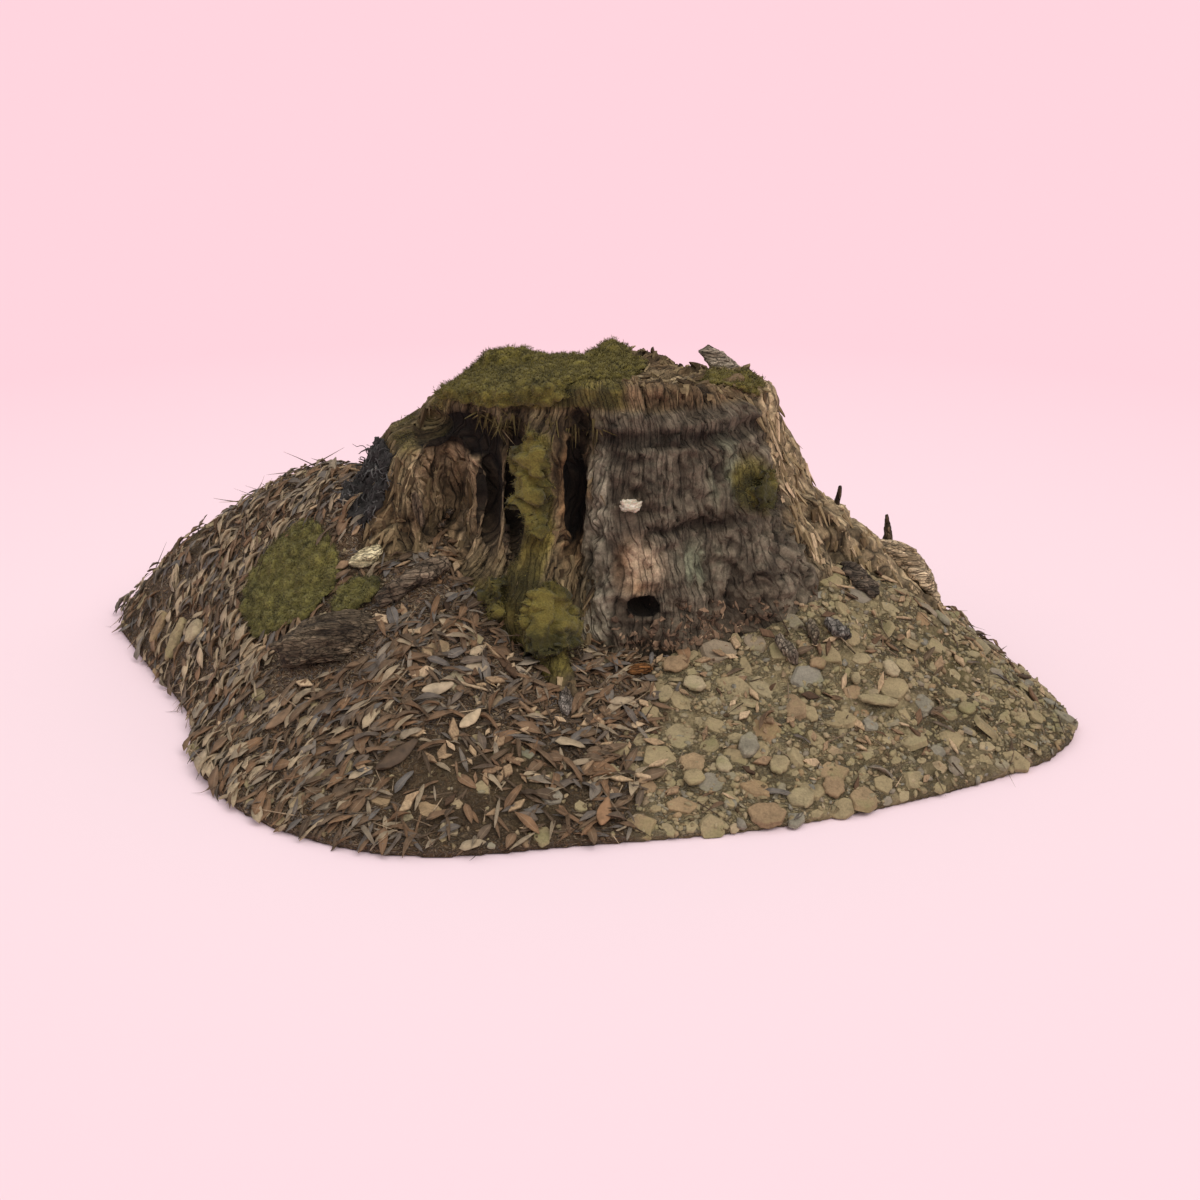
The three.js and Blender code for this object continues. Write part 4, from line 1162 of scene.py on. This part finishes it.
def refined(node, grain, wear, seed, stretch=(1, 1, 1)):
    """A detailed copy of a CAD node, its surface worn by noise."""
    piece = even_skin(merged_copy(node, node + "_worn"), grain, 1)
    points, outward = points_of(piece.data), normals_of(piece.data)
    drawn = points * np.array(stretch)
    relief = fractal(drawn, 0.03, seed, 3)
    creases = smooth((0.12 - np.abs(fractal(drawn, 0.02, seed + 3, 1))) / 0.12)
    _, number = plates(drawn, 0.022, seed + 5)
    move_to(piece.data, points + outward * (wear * (relief - 0.9 * creases + (number - 0.5)))[:, None])
    return piece, relief, creases


def refine_loose_wood():
    """Every broken, fallen or leaning piece of wood and bark."""
    for index, (node, (slot, pale, brown, grain_axis)) in enumerate(WOOD_LOOKS.items()):
        low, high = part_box(node)
        short = min(high - low)
        grain = min(max(short / 9, 0.0022), 0.006)
        stretch = tuple(axis / 60 for axis in grain_axis)
        wear = min(0.07 * short + 0.0012, 0.006)
        piece, relief, creases = refined(node, grain, wear, 60 + index, stretch)
        paint = blend(blend(tone(brown), tone(pale), 0.55 + 0.8 * relief), tone("2b2119"), 0.55 * creases)
        keep_values(piece.data, "paint", paint)
        keep_values(piece.data, "moss", np.zeros(len(relief)))
        keep_grain(piece.data, points_of(piece.data) * np.array(stretch))
        complete(piece, slot, wood_finish(node + "_finish", 1.6), node)


def grow_fungus():
    """The small pale bracket on the bark slab."""
    piece, _, _ = refined("bracket_fungus", 0.0025, 0.006, 81, (1, 1, 2))
    make = Finish("fungus_finish", 0.7, 0.3)
    make.surface.inputs["Subsurface Weight"].default_value = 0.1
    rings = make.mottle(1, 3, make.stretched((30, 30, 160)))
    colour = make.ramp(rings, (0.3, tone("8d7b66")), (0.5, tone("bcae9a")), (0.7, tone("dcd3c4")))
    complete(piece, "fungus", make.done(colour, make.relief(rings, 0.002, 0.7)), "bracket_fungus")


# Places on the ground


LYING_NODES = ("stone", "leaf", "weathered", "wood", "fallen", "root", "orange")


def surface_tree(name):
    """The surface of a finished piece, for finding places on it."""
    return BVHTree.FromObject(bpy.data.objects[name], bpy.context.evaluated_depsgraph_get())


def ground_places(count, draws, share_of, over_wood=0.0):
    """Random places on open ground, kept by their share, with the ground's slope there."""
    low, high = CAD_BOX
    tries = np.zeros((count, 3))
    tries[:, 0] = draws.uniform(low.x, high.x, count)
    tries[:, 1] = draws.uniform(low.y, high.y, count)
    free = draws.uniform(0, 1, count) < share_of(ground_zones(tries), tries)
    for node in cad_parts:
        if node.split("_")[0] in LYING_NODES:
            first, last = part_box(node)
            inside = (tries[:, :2] > first[:2]) & (tries[:, :2] < last[:2])
            free &= ~inside.all(axis=1)
    kept = tries[free]
    soil, wood = surface_tree("soil_patch"), surface_tree("trunk_and_roots")
    covers = [surface_tree(name) for name in ("moss_bank_left_cushion", "moss_lobe_left_cushion")]
    spots, slopes = [], []
    down = Vector((0, 0, -1))
    for x, y, _ in kept.tolist():
        start = Vector((x, y, high.z + 1))
        place, slope, _, _ = soil.ray_cast(start, down)
        if place is None or place.z < low.z + 0.012 or slope.z < 0.2:
            continue
        above = wood.ray_cast(start, down)[0]
        if above is not None and above.z > place.z + over_wood:
            continue
        if any((hit := cover.ray_cast(start, down)[0]) is not None and hit.z > place.z for cover in covers):
            continue
        spots.append(place)
        slopes.append(slope)
    return np.array(spots), np.array(slopes)


def spread_apart(spots, sizes):
    """The places that keep their distance from every earlier place, largest first."""
    order = np.argsort(-sizes)
    cell = sizes.max()
    held, chosen = {}, []
    for index in order.tolist():
        x, y = spots[index][:2]
        column, row = int(x // cell), int(y // cell)
        near = [k for i in (-1, 0, 1) for j in (-1, 0, 1) for k in held.get((column + i, row + j), ())]
        if all(np.hypot(*(spots[k][:2] - (x, y))) > 0.39 * (sizes[k] + sizes[index]) for k in near):
            held.setdefault((column, row), []).append(index)
            chosen.append(index)
    return np.array(chosen)


# Stones


def set_stones(stones):
    """The single stones, the packed flat stones and the gravel."""
    finish = stone_finish("stone_finish", stones)
    draws = np.random.default_rng(91)
    names = sorted(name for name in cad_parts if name.startswith("stone_"))
    for index, node in enumerate(names):
        piece, _, _ = refined(node, 0.0035, 0.0022, 100 + index)
        tint = draws.choice([0.1, 0.35, 0.5, 0.62, 0.8, 1.0])
        keep_values(piece.data, "tint", np.full(len(piece.data.vertices), tint))
        complete(piece, "stone", finish, node)
    templates = [stone_template(f"flat_stone_{k}", 5 + k % 3, 1.3 + 1.7 * k) for k in range(7)]

    def stony(zones, _):
        return np.clip(zones["stony"] * (1 - 0.55 * zones["far_right"]) + 0.02, 0, 1)

    spots, slopes = ground_places(stones.packed, draws, stony)
    sizes = stones.largest * (0.2 + 0.8 * draws.beta(0.8, 3.4, len(spots)))
    chosen = spread_apart(spots, sizes)
    spots, slopes, sizes = spots[chosen], slopes[chosen], sizes[chosen]
    count = len(spots)
    heading = draws.uniform(0, 2 * math.pi, count)
    turns = frames_on(slopes + draws.normal(0, 0.10, (count, 3)), level_ways(heading))
    wide, thick = draws.uniform(0.62, 1.0, count), draws.uniform(0.22, 0.36, count)
    scales = np.stack([sizes, sizes * wide, sizes * thick], axis=1)
    spots = spots - slopes * (0.36 * scales[:, 2])[:, None]
    piece = strewn("packed_stones", templates, spots, turns, scales, draws.beta(0.9, 1.3, count), draws)
    complete(piece, "stone", finish, crisp=True)

    def gravelly(zones, _):
        return np.clip(0.95 * zones["stony"] + 0.05, 0, 1)

    spots, slopes = ground_places(stones.gravel, draws, gravelly)
    count = len(spots)
    size = 0.007 + 0.026 * draws.beta(1.2, 2.4, count)
    turns = loose_turns(slopes, 0.3, draws)
    scales = np.stack([size, size * draws.uniform(0.5, 0.9, count), size * 0.4], axis=1)
    grit = [crumb_template(f"grit_{k}", 2.1 * k) for k in range(4)]
    piece = strewn("gravel", grit, spots, turns, scales, draws.uniform(0, 1, count), draws)
    complete(piece, "stone", finish)


# Leaves


LEFT_LITTER_EDGE = -0.15
BACK_LITTER_EDGE = 0.25


def strew_leaves(leaves):
    """The single leaves and the litter."""
    finish = leaf_finish("leaf_finish", leaves)
    draws = np.random.default_rng(111)
    tints = {"leaf_dark_front": 0.05, "leaf_pale_front": 0.95, "leaf_tan_middle": 0.85}
    tints.update({"leaf_brown_left": 0.25, "leaf_grey_left": 0.74, "leaf_orange_front": 0.42})
    for index, (node, tint) in enumerate(tints.items()):
        piece = finer(merged_copy(node, node + "_crinkled"), 2)
        points = points_of(piece.data)
        points[:, 2] += 0.0025 * fractal(points, 0.03, 120 + index)
        move_to(piece.data, points)
        keep_values(piece.data, "tint", np.full(len(points), tint))
        complete(piece, "dry_leaf", finish, node)
    templates = [
        leaf_template("lance_leaf", 0.9, 0.075, 0.05, 0.05),
        leaf_template("strip_leaf", 1.0, 0.05, 0.03, 0.04),
        leaf_template("oval_leaf", 0.8, 0.13, 0.06, 0.06),
        leaf_template("rolled_leaf", 0.85, 0.07, 0.09, 0.12),
        leaf_template("broad_leaf", 0.75, 0.19, 0.03, 0.06),
        leaf_template("bent_leaf", 1.1, 0.09, -0.07, 0.05),
    ]

    def left(zones, at):
        return zones["litter"] * (at[:, 0] < LEFT_LITTER_EDGE) * (at[:, 1] < BACK_LITTER_EDGE)

    def front(zones, at):
        matted = (zones["litter"] + 0.25 * zones["bare"]) * (at[:, 0] >= LEFT_LITTER_EDGE)
        return matted * (at[:, 1] < BACK_LITTER_EDGE) + 0.02 * zones["stony"] * (at[:, 1] < 0.0)

    def back(zones, at):
        return 0.5 * zones["litter"] * (at[:, 1] >= BACK_LITTER_EDGE)

    regions = {"leaf_litter_left": left, "leaf_litter_front": front, "leaf_litter_back": back}
    for name, share in regions.items():
        spots, slopes = ground_places(leaves.leaves, draws, share, 0.03)
        count = len(spots)
        aligned = smooth((-0.25 - spots[:, 0]) / 0.3)
        heading = np.radians(44) + draws.normal(0, 1, count) * (1.1 - 0.75 * aligned)
        heading = heading + math.pi * draws.integers(0, 2, count)
        turns = frames_on(slopes + draws.normal(0, 0.13, (count, 3)), level_ways(heading))
        long = leaves.length * draws.uniform(0.5, 1.3, count)
        wide, curled = draws.uniform(0.7, 1.15, count), draws.uniform(0.5, 1.5, count)
        scales = np.stack([long, long * wide, long * curled], axis=1)
        spots = spots + slopes * draws.uniform(0.0, 0.012, count)[:, None]
        tint = np.clip(draws.beta(1.6, 1.5, count) + 0.24 * smooth((-0.55 - spots[:, 0]) / 0.3), 0, 1)
        piece = strewn(name, templates, spots, turns, scales, tint, draws)
        complete(piece, "dry_leaf", finish)


# Twigs and rootlets


STICKS = 2600
ROOTLETS = 260


def strands(name, paths, slot, finish, *nodes):
    """Round strands along lists of points with a radius each, as one piece."""
    curve = bpy.data.curves.new(name, "CURVE")
    curve.dimensions = "3D"
    curve.bevel_depth = 1.0
    curve.bevel_resolution = 0
    curve.use_fill_caps = True
    for path, radii in paths:
        line = curve.splines.new("POLY")
        line.points.add(len(path) - 1)
        for point, place, radius in zip(line.points, path, radii):
            point.co = (*place, 1)
            point.radius = radius
    holder = bpy.data.objects.new("strand_guide", curve)
    bpy.context.scene.collection.objects.link(holder)
    bpy.context.view_layer.update()
    mesh = bpy.data.meshes.new_from_object(holder.evaluated_get(bpy.context.evaluated_depsgraph_get()))
    bpy.data.objects.remove(holder)
    bpy.data.curves.remove(curve)
    bm = bmesh.new()
    bm.from_mesh(mesh)
    bpy.data.meshes.remove(mesh)
    bmesh.ops.remove_doubles(bm, verts=bm.verts, dist=1e-5)
    bmesh.ops.recalc_face_normals(bm, faces=bm.faces)
    mesh = mesh_from(bm, name)
    points = points_of(mesh)
    keep_values(mesh, "tint", np.clip(0.45 + 0.6 * fractal(points, 0.08, 141), 0, 1))
    return complete(new_piece(name, mesh), slot, finish, *nodes)


def wandering(start, heading, length, steps, sway, sag, draws):
    """A path that wanders from its start."""
    place, way = np.array(start, float), np.array(heading, float)
    path = [place.copy()]
    for _ in range(steps):
        way = way + draws.normal(0, sway, 3) + np.array([0, 0, -sag])
        way /= np.linalg.norm(way)
        place = place + way * length / steps
        path.append(place.copy())
    return path


def lay_twigs():
    """The single twigs and many short sticks in the litter."""
    finish = sliver_finish("twig_finish", tone("85725c"), tone("4d3e30"), tone("241b14"))
    draws = np.random.default_rng(151)
    names = sorted(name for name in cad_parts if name.startswith("twig_"))
    for index, node in enumerate(names):
        piece = finer(merged_copy(node, node + "_barked"), 2)
        points, outward = points_of(piece.data), normals_of(piece.data)
        move_to(piece.data, points + outward * (0.0012 * fractal(points, 0.012, 160 + index))[:, None])
        tint = 0.85 if "pale" in node or "middle" in node else 0.4
        keep_values(piece.data, "tint", np.full(len(points), tint))
        complete(piece, "twig_wood", finish, node)

    def littered(zones, _):
        return 0.75 * zones["litter"] + 0.2 * zones["stony"]

    spots, slopes = ground_places(STICKS, draws, littered)
    count = len(spots)
    turns = loose_turns(slopes, 0.12, draws)
    long = draws.uniform(0.03, 0.13, count)
    thick = draws.uniform(0.0022, 0.0048, count)
    scales = np.stack([long, thick, thick], axis=1)
    spots = spots + slopes * 0.010
    sticks = [sliver_template(f"stick_{k}", 1.5 * (k - 1), 3.1 * k) for k in range(3)]
    piece = strewn("small_sticks", sticks, spots, turns, scales, draws.uniform(0.1, 0.9, count), draws)
    complete(piece, "twig_wood", finish)


def tangle_rootlets():
    """The tangle of fine rootlets in the left shoulder."""
    draws = np.random.default_rng(171)
    finish = sliver_finish("rootlet_finish", tone("63615f"), tone("3b3836"), tone("171412"))
    piece, relief, _ = refined("rootlet_mat_left", 0.006, 0.010, 172)
    keep_values(piece.data, "tint", np.clip(0.18 + 0.25 * relief, 0, 1))
    complete(piece, "rootlets", finish, "rootlet_mat_left")
    points, outward = points_of(piece.data), normals_of(piece.data)
    open_air = np.flatnonzero((outward[:, 1] < 0.6) & (outward[:, 2] > -0.6))
    paths = []
    for index in draws.choice(open_air, ROOTLETS):
        heading = np.cross(outward[index], draws.normal(0, 1, 3)) + 0.03 * outward[index]
        path = wandering(points[index], heading, draws.uniform(0.02, 0.07), 8, 0.4, 0.12, draws)
        thick = draws.uniform(0.0012, 0.0034)
        paths.append((path, np.linspace(thick, 0.3 * thick, len(path))))
    strands("rootlet_strands", paths, "rootlets", finish)


# Splinters, flakes, chips and crumbs


FRINGE = 330
TOP_CRUMBS = 300
CHIPS = 4200


def wood_places(count, share_name, keep, draws):
    """Random places on the trunk, kept by a stored share, with the way the grain runs down from each."""
    mesh = bpy.data.objects["trunk_and_roots"].data
    points, outward = points_of(mesh), normals_of(mesh)
    share = kept_values(mesh, share_name) * keep(points, outward)
    picked = draws.choice(len(points), count, p=share / share.sum())
    radial = (points[picked] - TRUNK_MIDDLE) * np.array([1, 1, 0])
    radial /= np.maximum(np.linalg.norm(radial, axis=1), 1e-6)[:, None]
    return points[picked], outward[picked], DOWN + 0.35 * radial


def above_soil(points):
    """1 where the trunk stands clear of the soil."""
    soil = surface_tree("soil_patch")
    clear = [soil.ray_cast(Vector((x, y, 2)), Vector((0, 0, -1)))[0] for x, y, _ in points.tolist()]
    level = np.array([hit.z if hit else 0 for hit in clear])
    return (points[:, 2] > level + 0.01).astype(float)


def dipped(turns, dip):
    """The same turns with their first axis dipped a little into the surface."""
    along, up = turns[:, :, 0] - dip * turns[:, :, 2], turns[:, :, 2] + dip * turns[:, :, 0]
    along = along / math.hypot(1, dip)
    up = up / math.hypot(1, dip)
    return np.stack([along, turns[:, :, 1], up], axis=2)


def bare_wall(points, outward):
    """1 on bare walls that stand clear of the soil, outside the hollow front and below the rim."""
    hollow = band(turned(angle_round(points), 226), -24, 42, 6) * smooth((points[:, 2] - 0.42) / 0.1)
    rim = smooth((points[:, 2] - 0.80) / 0.05)
    return above_soil(points) * (1 - 0.97 * hollow) * (1 - 0.9 * rim) * (outward[:, 2] < 0.75)


def under_cap(points, outward):
    """1 on the wall just under the moss cap, over the hollow front."""
    front = band(turned(angle_round(points), HOLLOW_ANGLE), -20, 38, 4)
    return front * band(points[:, 2], 0.82, 0.87, 0.02) * (outward[:, 2] < 0.5) + TRACE


def slab_foot(points, _):
    """1 at the foot of the bark slab, beside the recess."""
    recess = spot(points, (0.215, -0.43, 0.42), (0.13, 0.3, 0.14))
    low_down = smooth((0.41 - points[:, 2]) / 0.1) * (1 - recess)
    front = band(turned(angle_round(points), 308), -30, 42, 8)
    return above_soil(points) * low_down * front + TRACE


def broken_top(points, outward):
    """1 on the bare part of the top."""
    level = (points[:, 2] > 0.875) * (outward[:, 2] > 0.6)
    return level * smooth((points[:, 0] - 0.12) / 0.1) + TRACE


def lay_on_wood(name, templates, count, share, keep, sizes, turning, draws, look, slot="stump_wood"):
    """Pieces that lie along the trunk's grain, each with a length, width and thickness in a range."""
    spread, lean = turning
    spots, outward, down = wood_places(count, share, keep, draws)
    leaning = outward + draws.normal(0, lean, (count, 3))
    turns = dipped(frames_on(leaning, down + draws.normal(0, spread, (count, 3))), 0.12)
    scales = np.stack([draws.uniform(low, high, count) for low, high in sizes], axis=1)
    reach = np.hypot(*(spots - TRUNK_MIDDLE).T[:2])
    pale = band(turned(angle_round(spots), FLANK_ANGLE), -20, 24, 6) * smooth((reach - 0.2) / 0.1)
    tints = np.clip(draws.normal(0.42, 0.17, count) + 0.25 * pale, 0, 1)
    piece = strewn(name, templates, spots - outward * 0.003, turns, scales, tints, draws)
    complete(piece, slot, look, crisp=True)


def raise_splinters(wood):
    """Shards and slivers on the broken wood, a torn fringe under the cap and rubble below the slab."""
    draws = np.random.default_rng(181)
    look = sliver_finish("splinter_finish", wood.pale, wood.brown, wood.dark)
    slivers = [sliver_template(f"sliver_{k}", 0.12 * k - 0.1, 1.7 * k) for k in range(4)]
    shards = [shard_template(f"shard_{k}", 1.3 * k + 0.4) for k in range(5)]
    sizes = (0.015, 0.05), (0.004, 0.008), (0.003, 0.006)
    count = wood.splinters
    lay_on_wood("wood_splinters", slivers, count, "broken", bare_wall, sizes, (0.3, 0.15), draws, look)
    sizes = (0.03, 0.1), (0.006, 0.018), (0.006, 0.012)
    lay_on_wood("wood_shards", shards, wood.shards, "broken", bare_wall, sizes, (0.18, 0.05), draws, look)
    mossy = sliver_finish("fringe_finish", tone("75683f"), tone("463b22"), wood.dark)
    sizes = (0.02, 0.075), (0.003, 0.008), (0.003, 0.006)
    lay_on_wood("torn_fringe", slivers, FRINGE, "all", under_cap, sizes, (0.2, 0.05), draws, mossy)
    rubble = [stone_template(f"rubble_{k}", 4 + k % 2, 5.1 * k + 0.4) for k in range(4)]
    barky = sliver_finish("rubble_finish", tone("866d56"), tone("5d4a3b"), wood.dark)
    sizes = (0.012, 0.05), (0.006, 0.02), (0.003, 0.009)
    lay_on_wood("bark_rubble", rubble, wood.rubble, "all", slab_foot, sizes, (0.9, 0.4), draws, barky, "bark")
    sizes = (0.012, 0.045), (0.006, 0.018), (0.008, 0.018)
    lay_on_wood("top_crumbs", shards, TOP_CRUMBS, "all", broken_top, sizes, (1.5, 0.3), draws, look)


def crumble_soil(ground):
    """Crumbs of soil and chips of wood over the ground."""
    draws = np.random.default_rng(191)

    def anywhere(zones, _):
        return 0.55 + 0.45 * zones["bare"]

    spots, slopes = ground_places(ground.crumbs, draws, anywhere)
    count = len(spots)
    size = draws.uniform(0.005, 0.018, count)
    turns = loose_turns(slopes, 0.4, draws)
    scales = np.stack([size, size * 0.85, size * 0.7], axis=1)
    crumbs = [crumb_template(f"crumb_{k}", 1.9 * k + 0.7) for k in range(4)]
    make = Finish("crumb_finish", 0.95, 0.15)
    earths = (0.0, ground.humus), (0.4, ground.soil), (0.8, ground.olive), (1, tone("9c8a68"))
    colour = make.ramp(make.stored("tint"), *earths)
    speck = make.mottle(160, 3)
    colour = make.toned(0.7, colour, speck, (0.3, 0.5), (0.7, 1.4))
    stony = ground_zones(spots)["stony"]
    tints = np.clip(draws.normal(0.3, 0.16, count) + 0.3 * stony, 0, 1)
    piece = strewn("soil_crumbs", crumbs, spots, turns, scales, tints, draws)
    complete(piece, "soil", make.done(colour, make.relief(speck, 0.003, 0.7)))

    def near_wood(_, at):
        away = np.hypot(at[:, 0] - TRUNK_MIDDLE[0], (at[:, 1] - TRUNK_MIDDLE[1]) * 1.25)
        return np.clip(1.35 - away, 0, 1) * 0.8 + 0.7 * spot(at, (-0.13, -0.78, 0), (0.2, 0.16, 1))

    spots, slopes = ground_places(CHIPS, draws, near_wood, 0.05)
    count = len(spots)
    long = draws.uniform(0.02, 0.075, count)
    turns = loose_turns(slopes, 0.25, draws)
    wide, thick = draws.uniform(0.25, 0.5, count), draws.uniform(0.12, 0.25, count)
    scales = np.stack([long, long * wide, long * thick], axis=1)
    chips = [stone_template(f"chip_{k}", 4, 2.2 * k + 0.2) for k in range(3)]
    finish = sliver_finish("chip_finish", tone("a58b6c"), tone("6f5540"), tone("2b2018"))
    tints = draws.beta(2.2, 1.8, count)
    piece = strewn("wood_chips", chips, spots + slopes * 0.004, turns, scales, tints, draws)
    complete(piece, "rotten_wood", finish)


# Operators and panel


def operator(kind, label, doc, work):
    """An operator class that does one piece of work with the scene's settings."""

    def execute(self, context):
        work(context.scene)
        return {"FINISHED"}

    settings = {"bl_idname": "stump." + kind, "bl_label": label, "__doc__": doc, "execute": execute}
    return type("STUMP_OT_" + kind, (bpy.types.Operator,), settings)


def soil_work(scene):
    """The soil with every finish that it shows."""
    shape_soil(scene.stump_ground, scene.stump_moss, scene.stump_stones, scene.stump_leaves)


OPERATORS = (
    operator("stage", "Stage", "Floor, light and camera", lambda s: build_stage(s.stump_stage)),
    operator("trunk", "Trunk", "Trunk and roots", lambda s: shape_trunk(s.stump_wood, s.stump_moss)),
    operator("soil", "Soil", "Mound of soil", soil_work),
    operator("moss", "Moss", "Moss cushions and shoots", lambda s: grow_moss(s.stump_moss)),
    operator("loose_wood", "Loose wood", "Broken wood and bark", lambda s: refine_loose_wood()),
    operator("fungus", "Fungus", "Bracket fungus", lambda s: grow_fungus()),
    operator("stones", "Stones", "Stones and gravel", lambda s: set_stones(s.stump_stones)),
    operator("leaves", "Leaves", "Fallen leaves", lambda s: strew_leaves(s.stump_leaves)),
    operator("twigs", "Twigs", "Twigs and sticks", lambda s: lay_twigs()),
    operator("rootlets", "Rootlets", "Rootlet tangle", lambda s: tangle_rootlets()),
    operator("splinters", "Splinters", "Shards, slivers and rubble", lambda s: raise_splinters(s.stump_wood)),
    operator("crumbs", "Crumbs", "Soil crumbs and chips", lambda s: crumble_soil(s.stump_ground)),
)


class STUMP_PT_parts(bpy.types.Panel):
    """Lists the stump's parts."""

    bl_label = "Old tree stump"
    bl_idname = "STUMP_PT_parts"
    bl_space_type = "VIEW_3D"
    bl_region_type = "UI"
    bl_category = "Stump"

    def draw(self, context):
        for made in OPERATORS:
            self.layout.operator(made.bl_idname)
        for name, group in GROUPS.items():
            box = self.layout.box()
            for setting in group.__annotations__:
                box.prop(getattr(context.scene, name), setting)


def register():
    for name, group in GROUPS.items():
        bpy.utils.register_class(group)
        setattr(bpy.types.Scene, name, bpy.props.PointerProperty(type=group))
    for made in OPERATORS:
        bpy.utils.register_class(made)
    bpy.utils.register_class(STUMP_PT_parts)


def unregister():
    bpy.utils.unregister_class(STUMP_PT_parts)
    for made in reversed(OPERATORS):
        bpy.utils.unregister_class(made)
    for name, group in reversed(GROUPS.items()):
        delattr(bpy.types.Scene, name)
        bpy.utils.unregister_class(group)


def main():
    register()
    for made in OPERATORS:
        getattr(bpy.ops.stump, made.bl_idname.split(".")[1])()


if __name__ == "__main__":
    main()
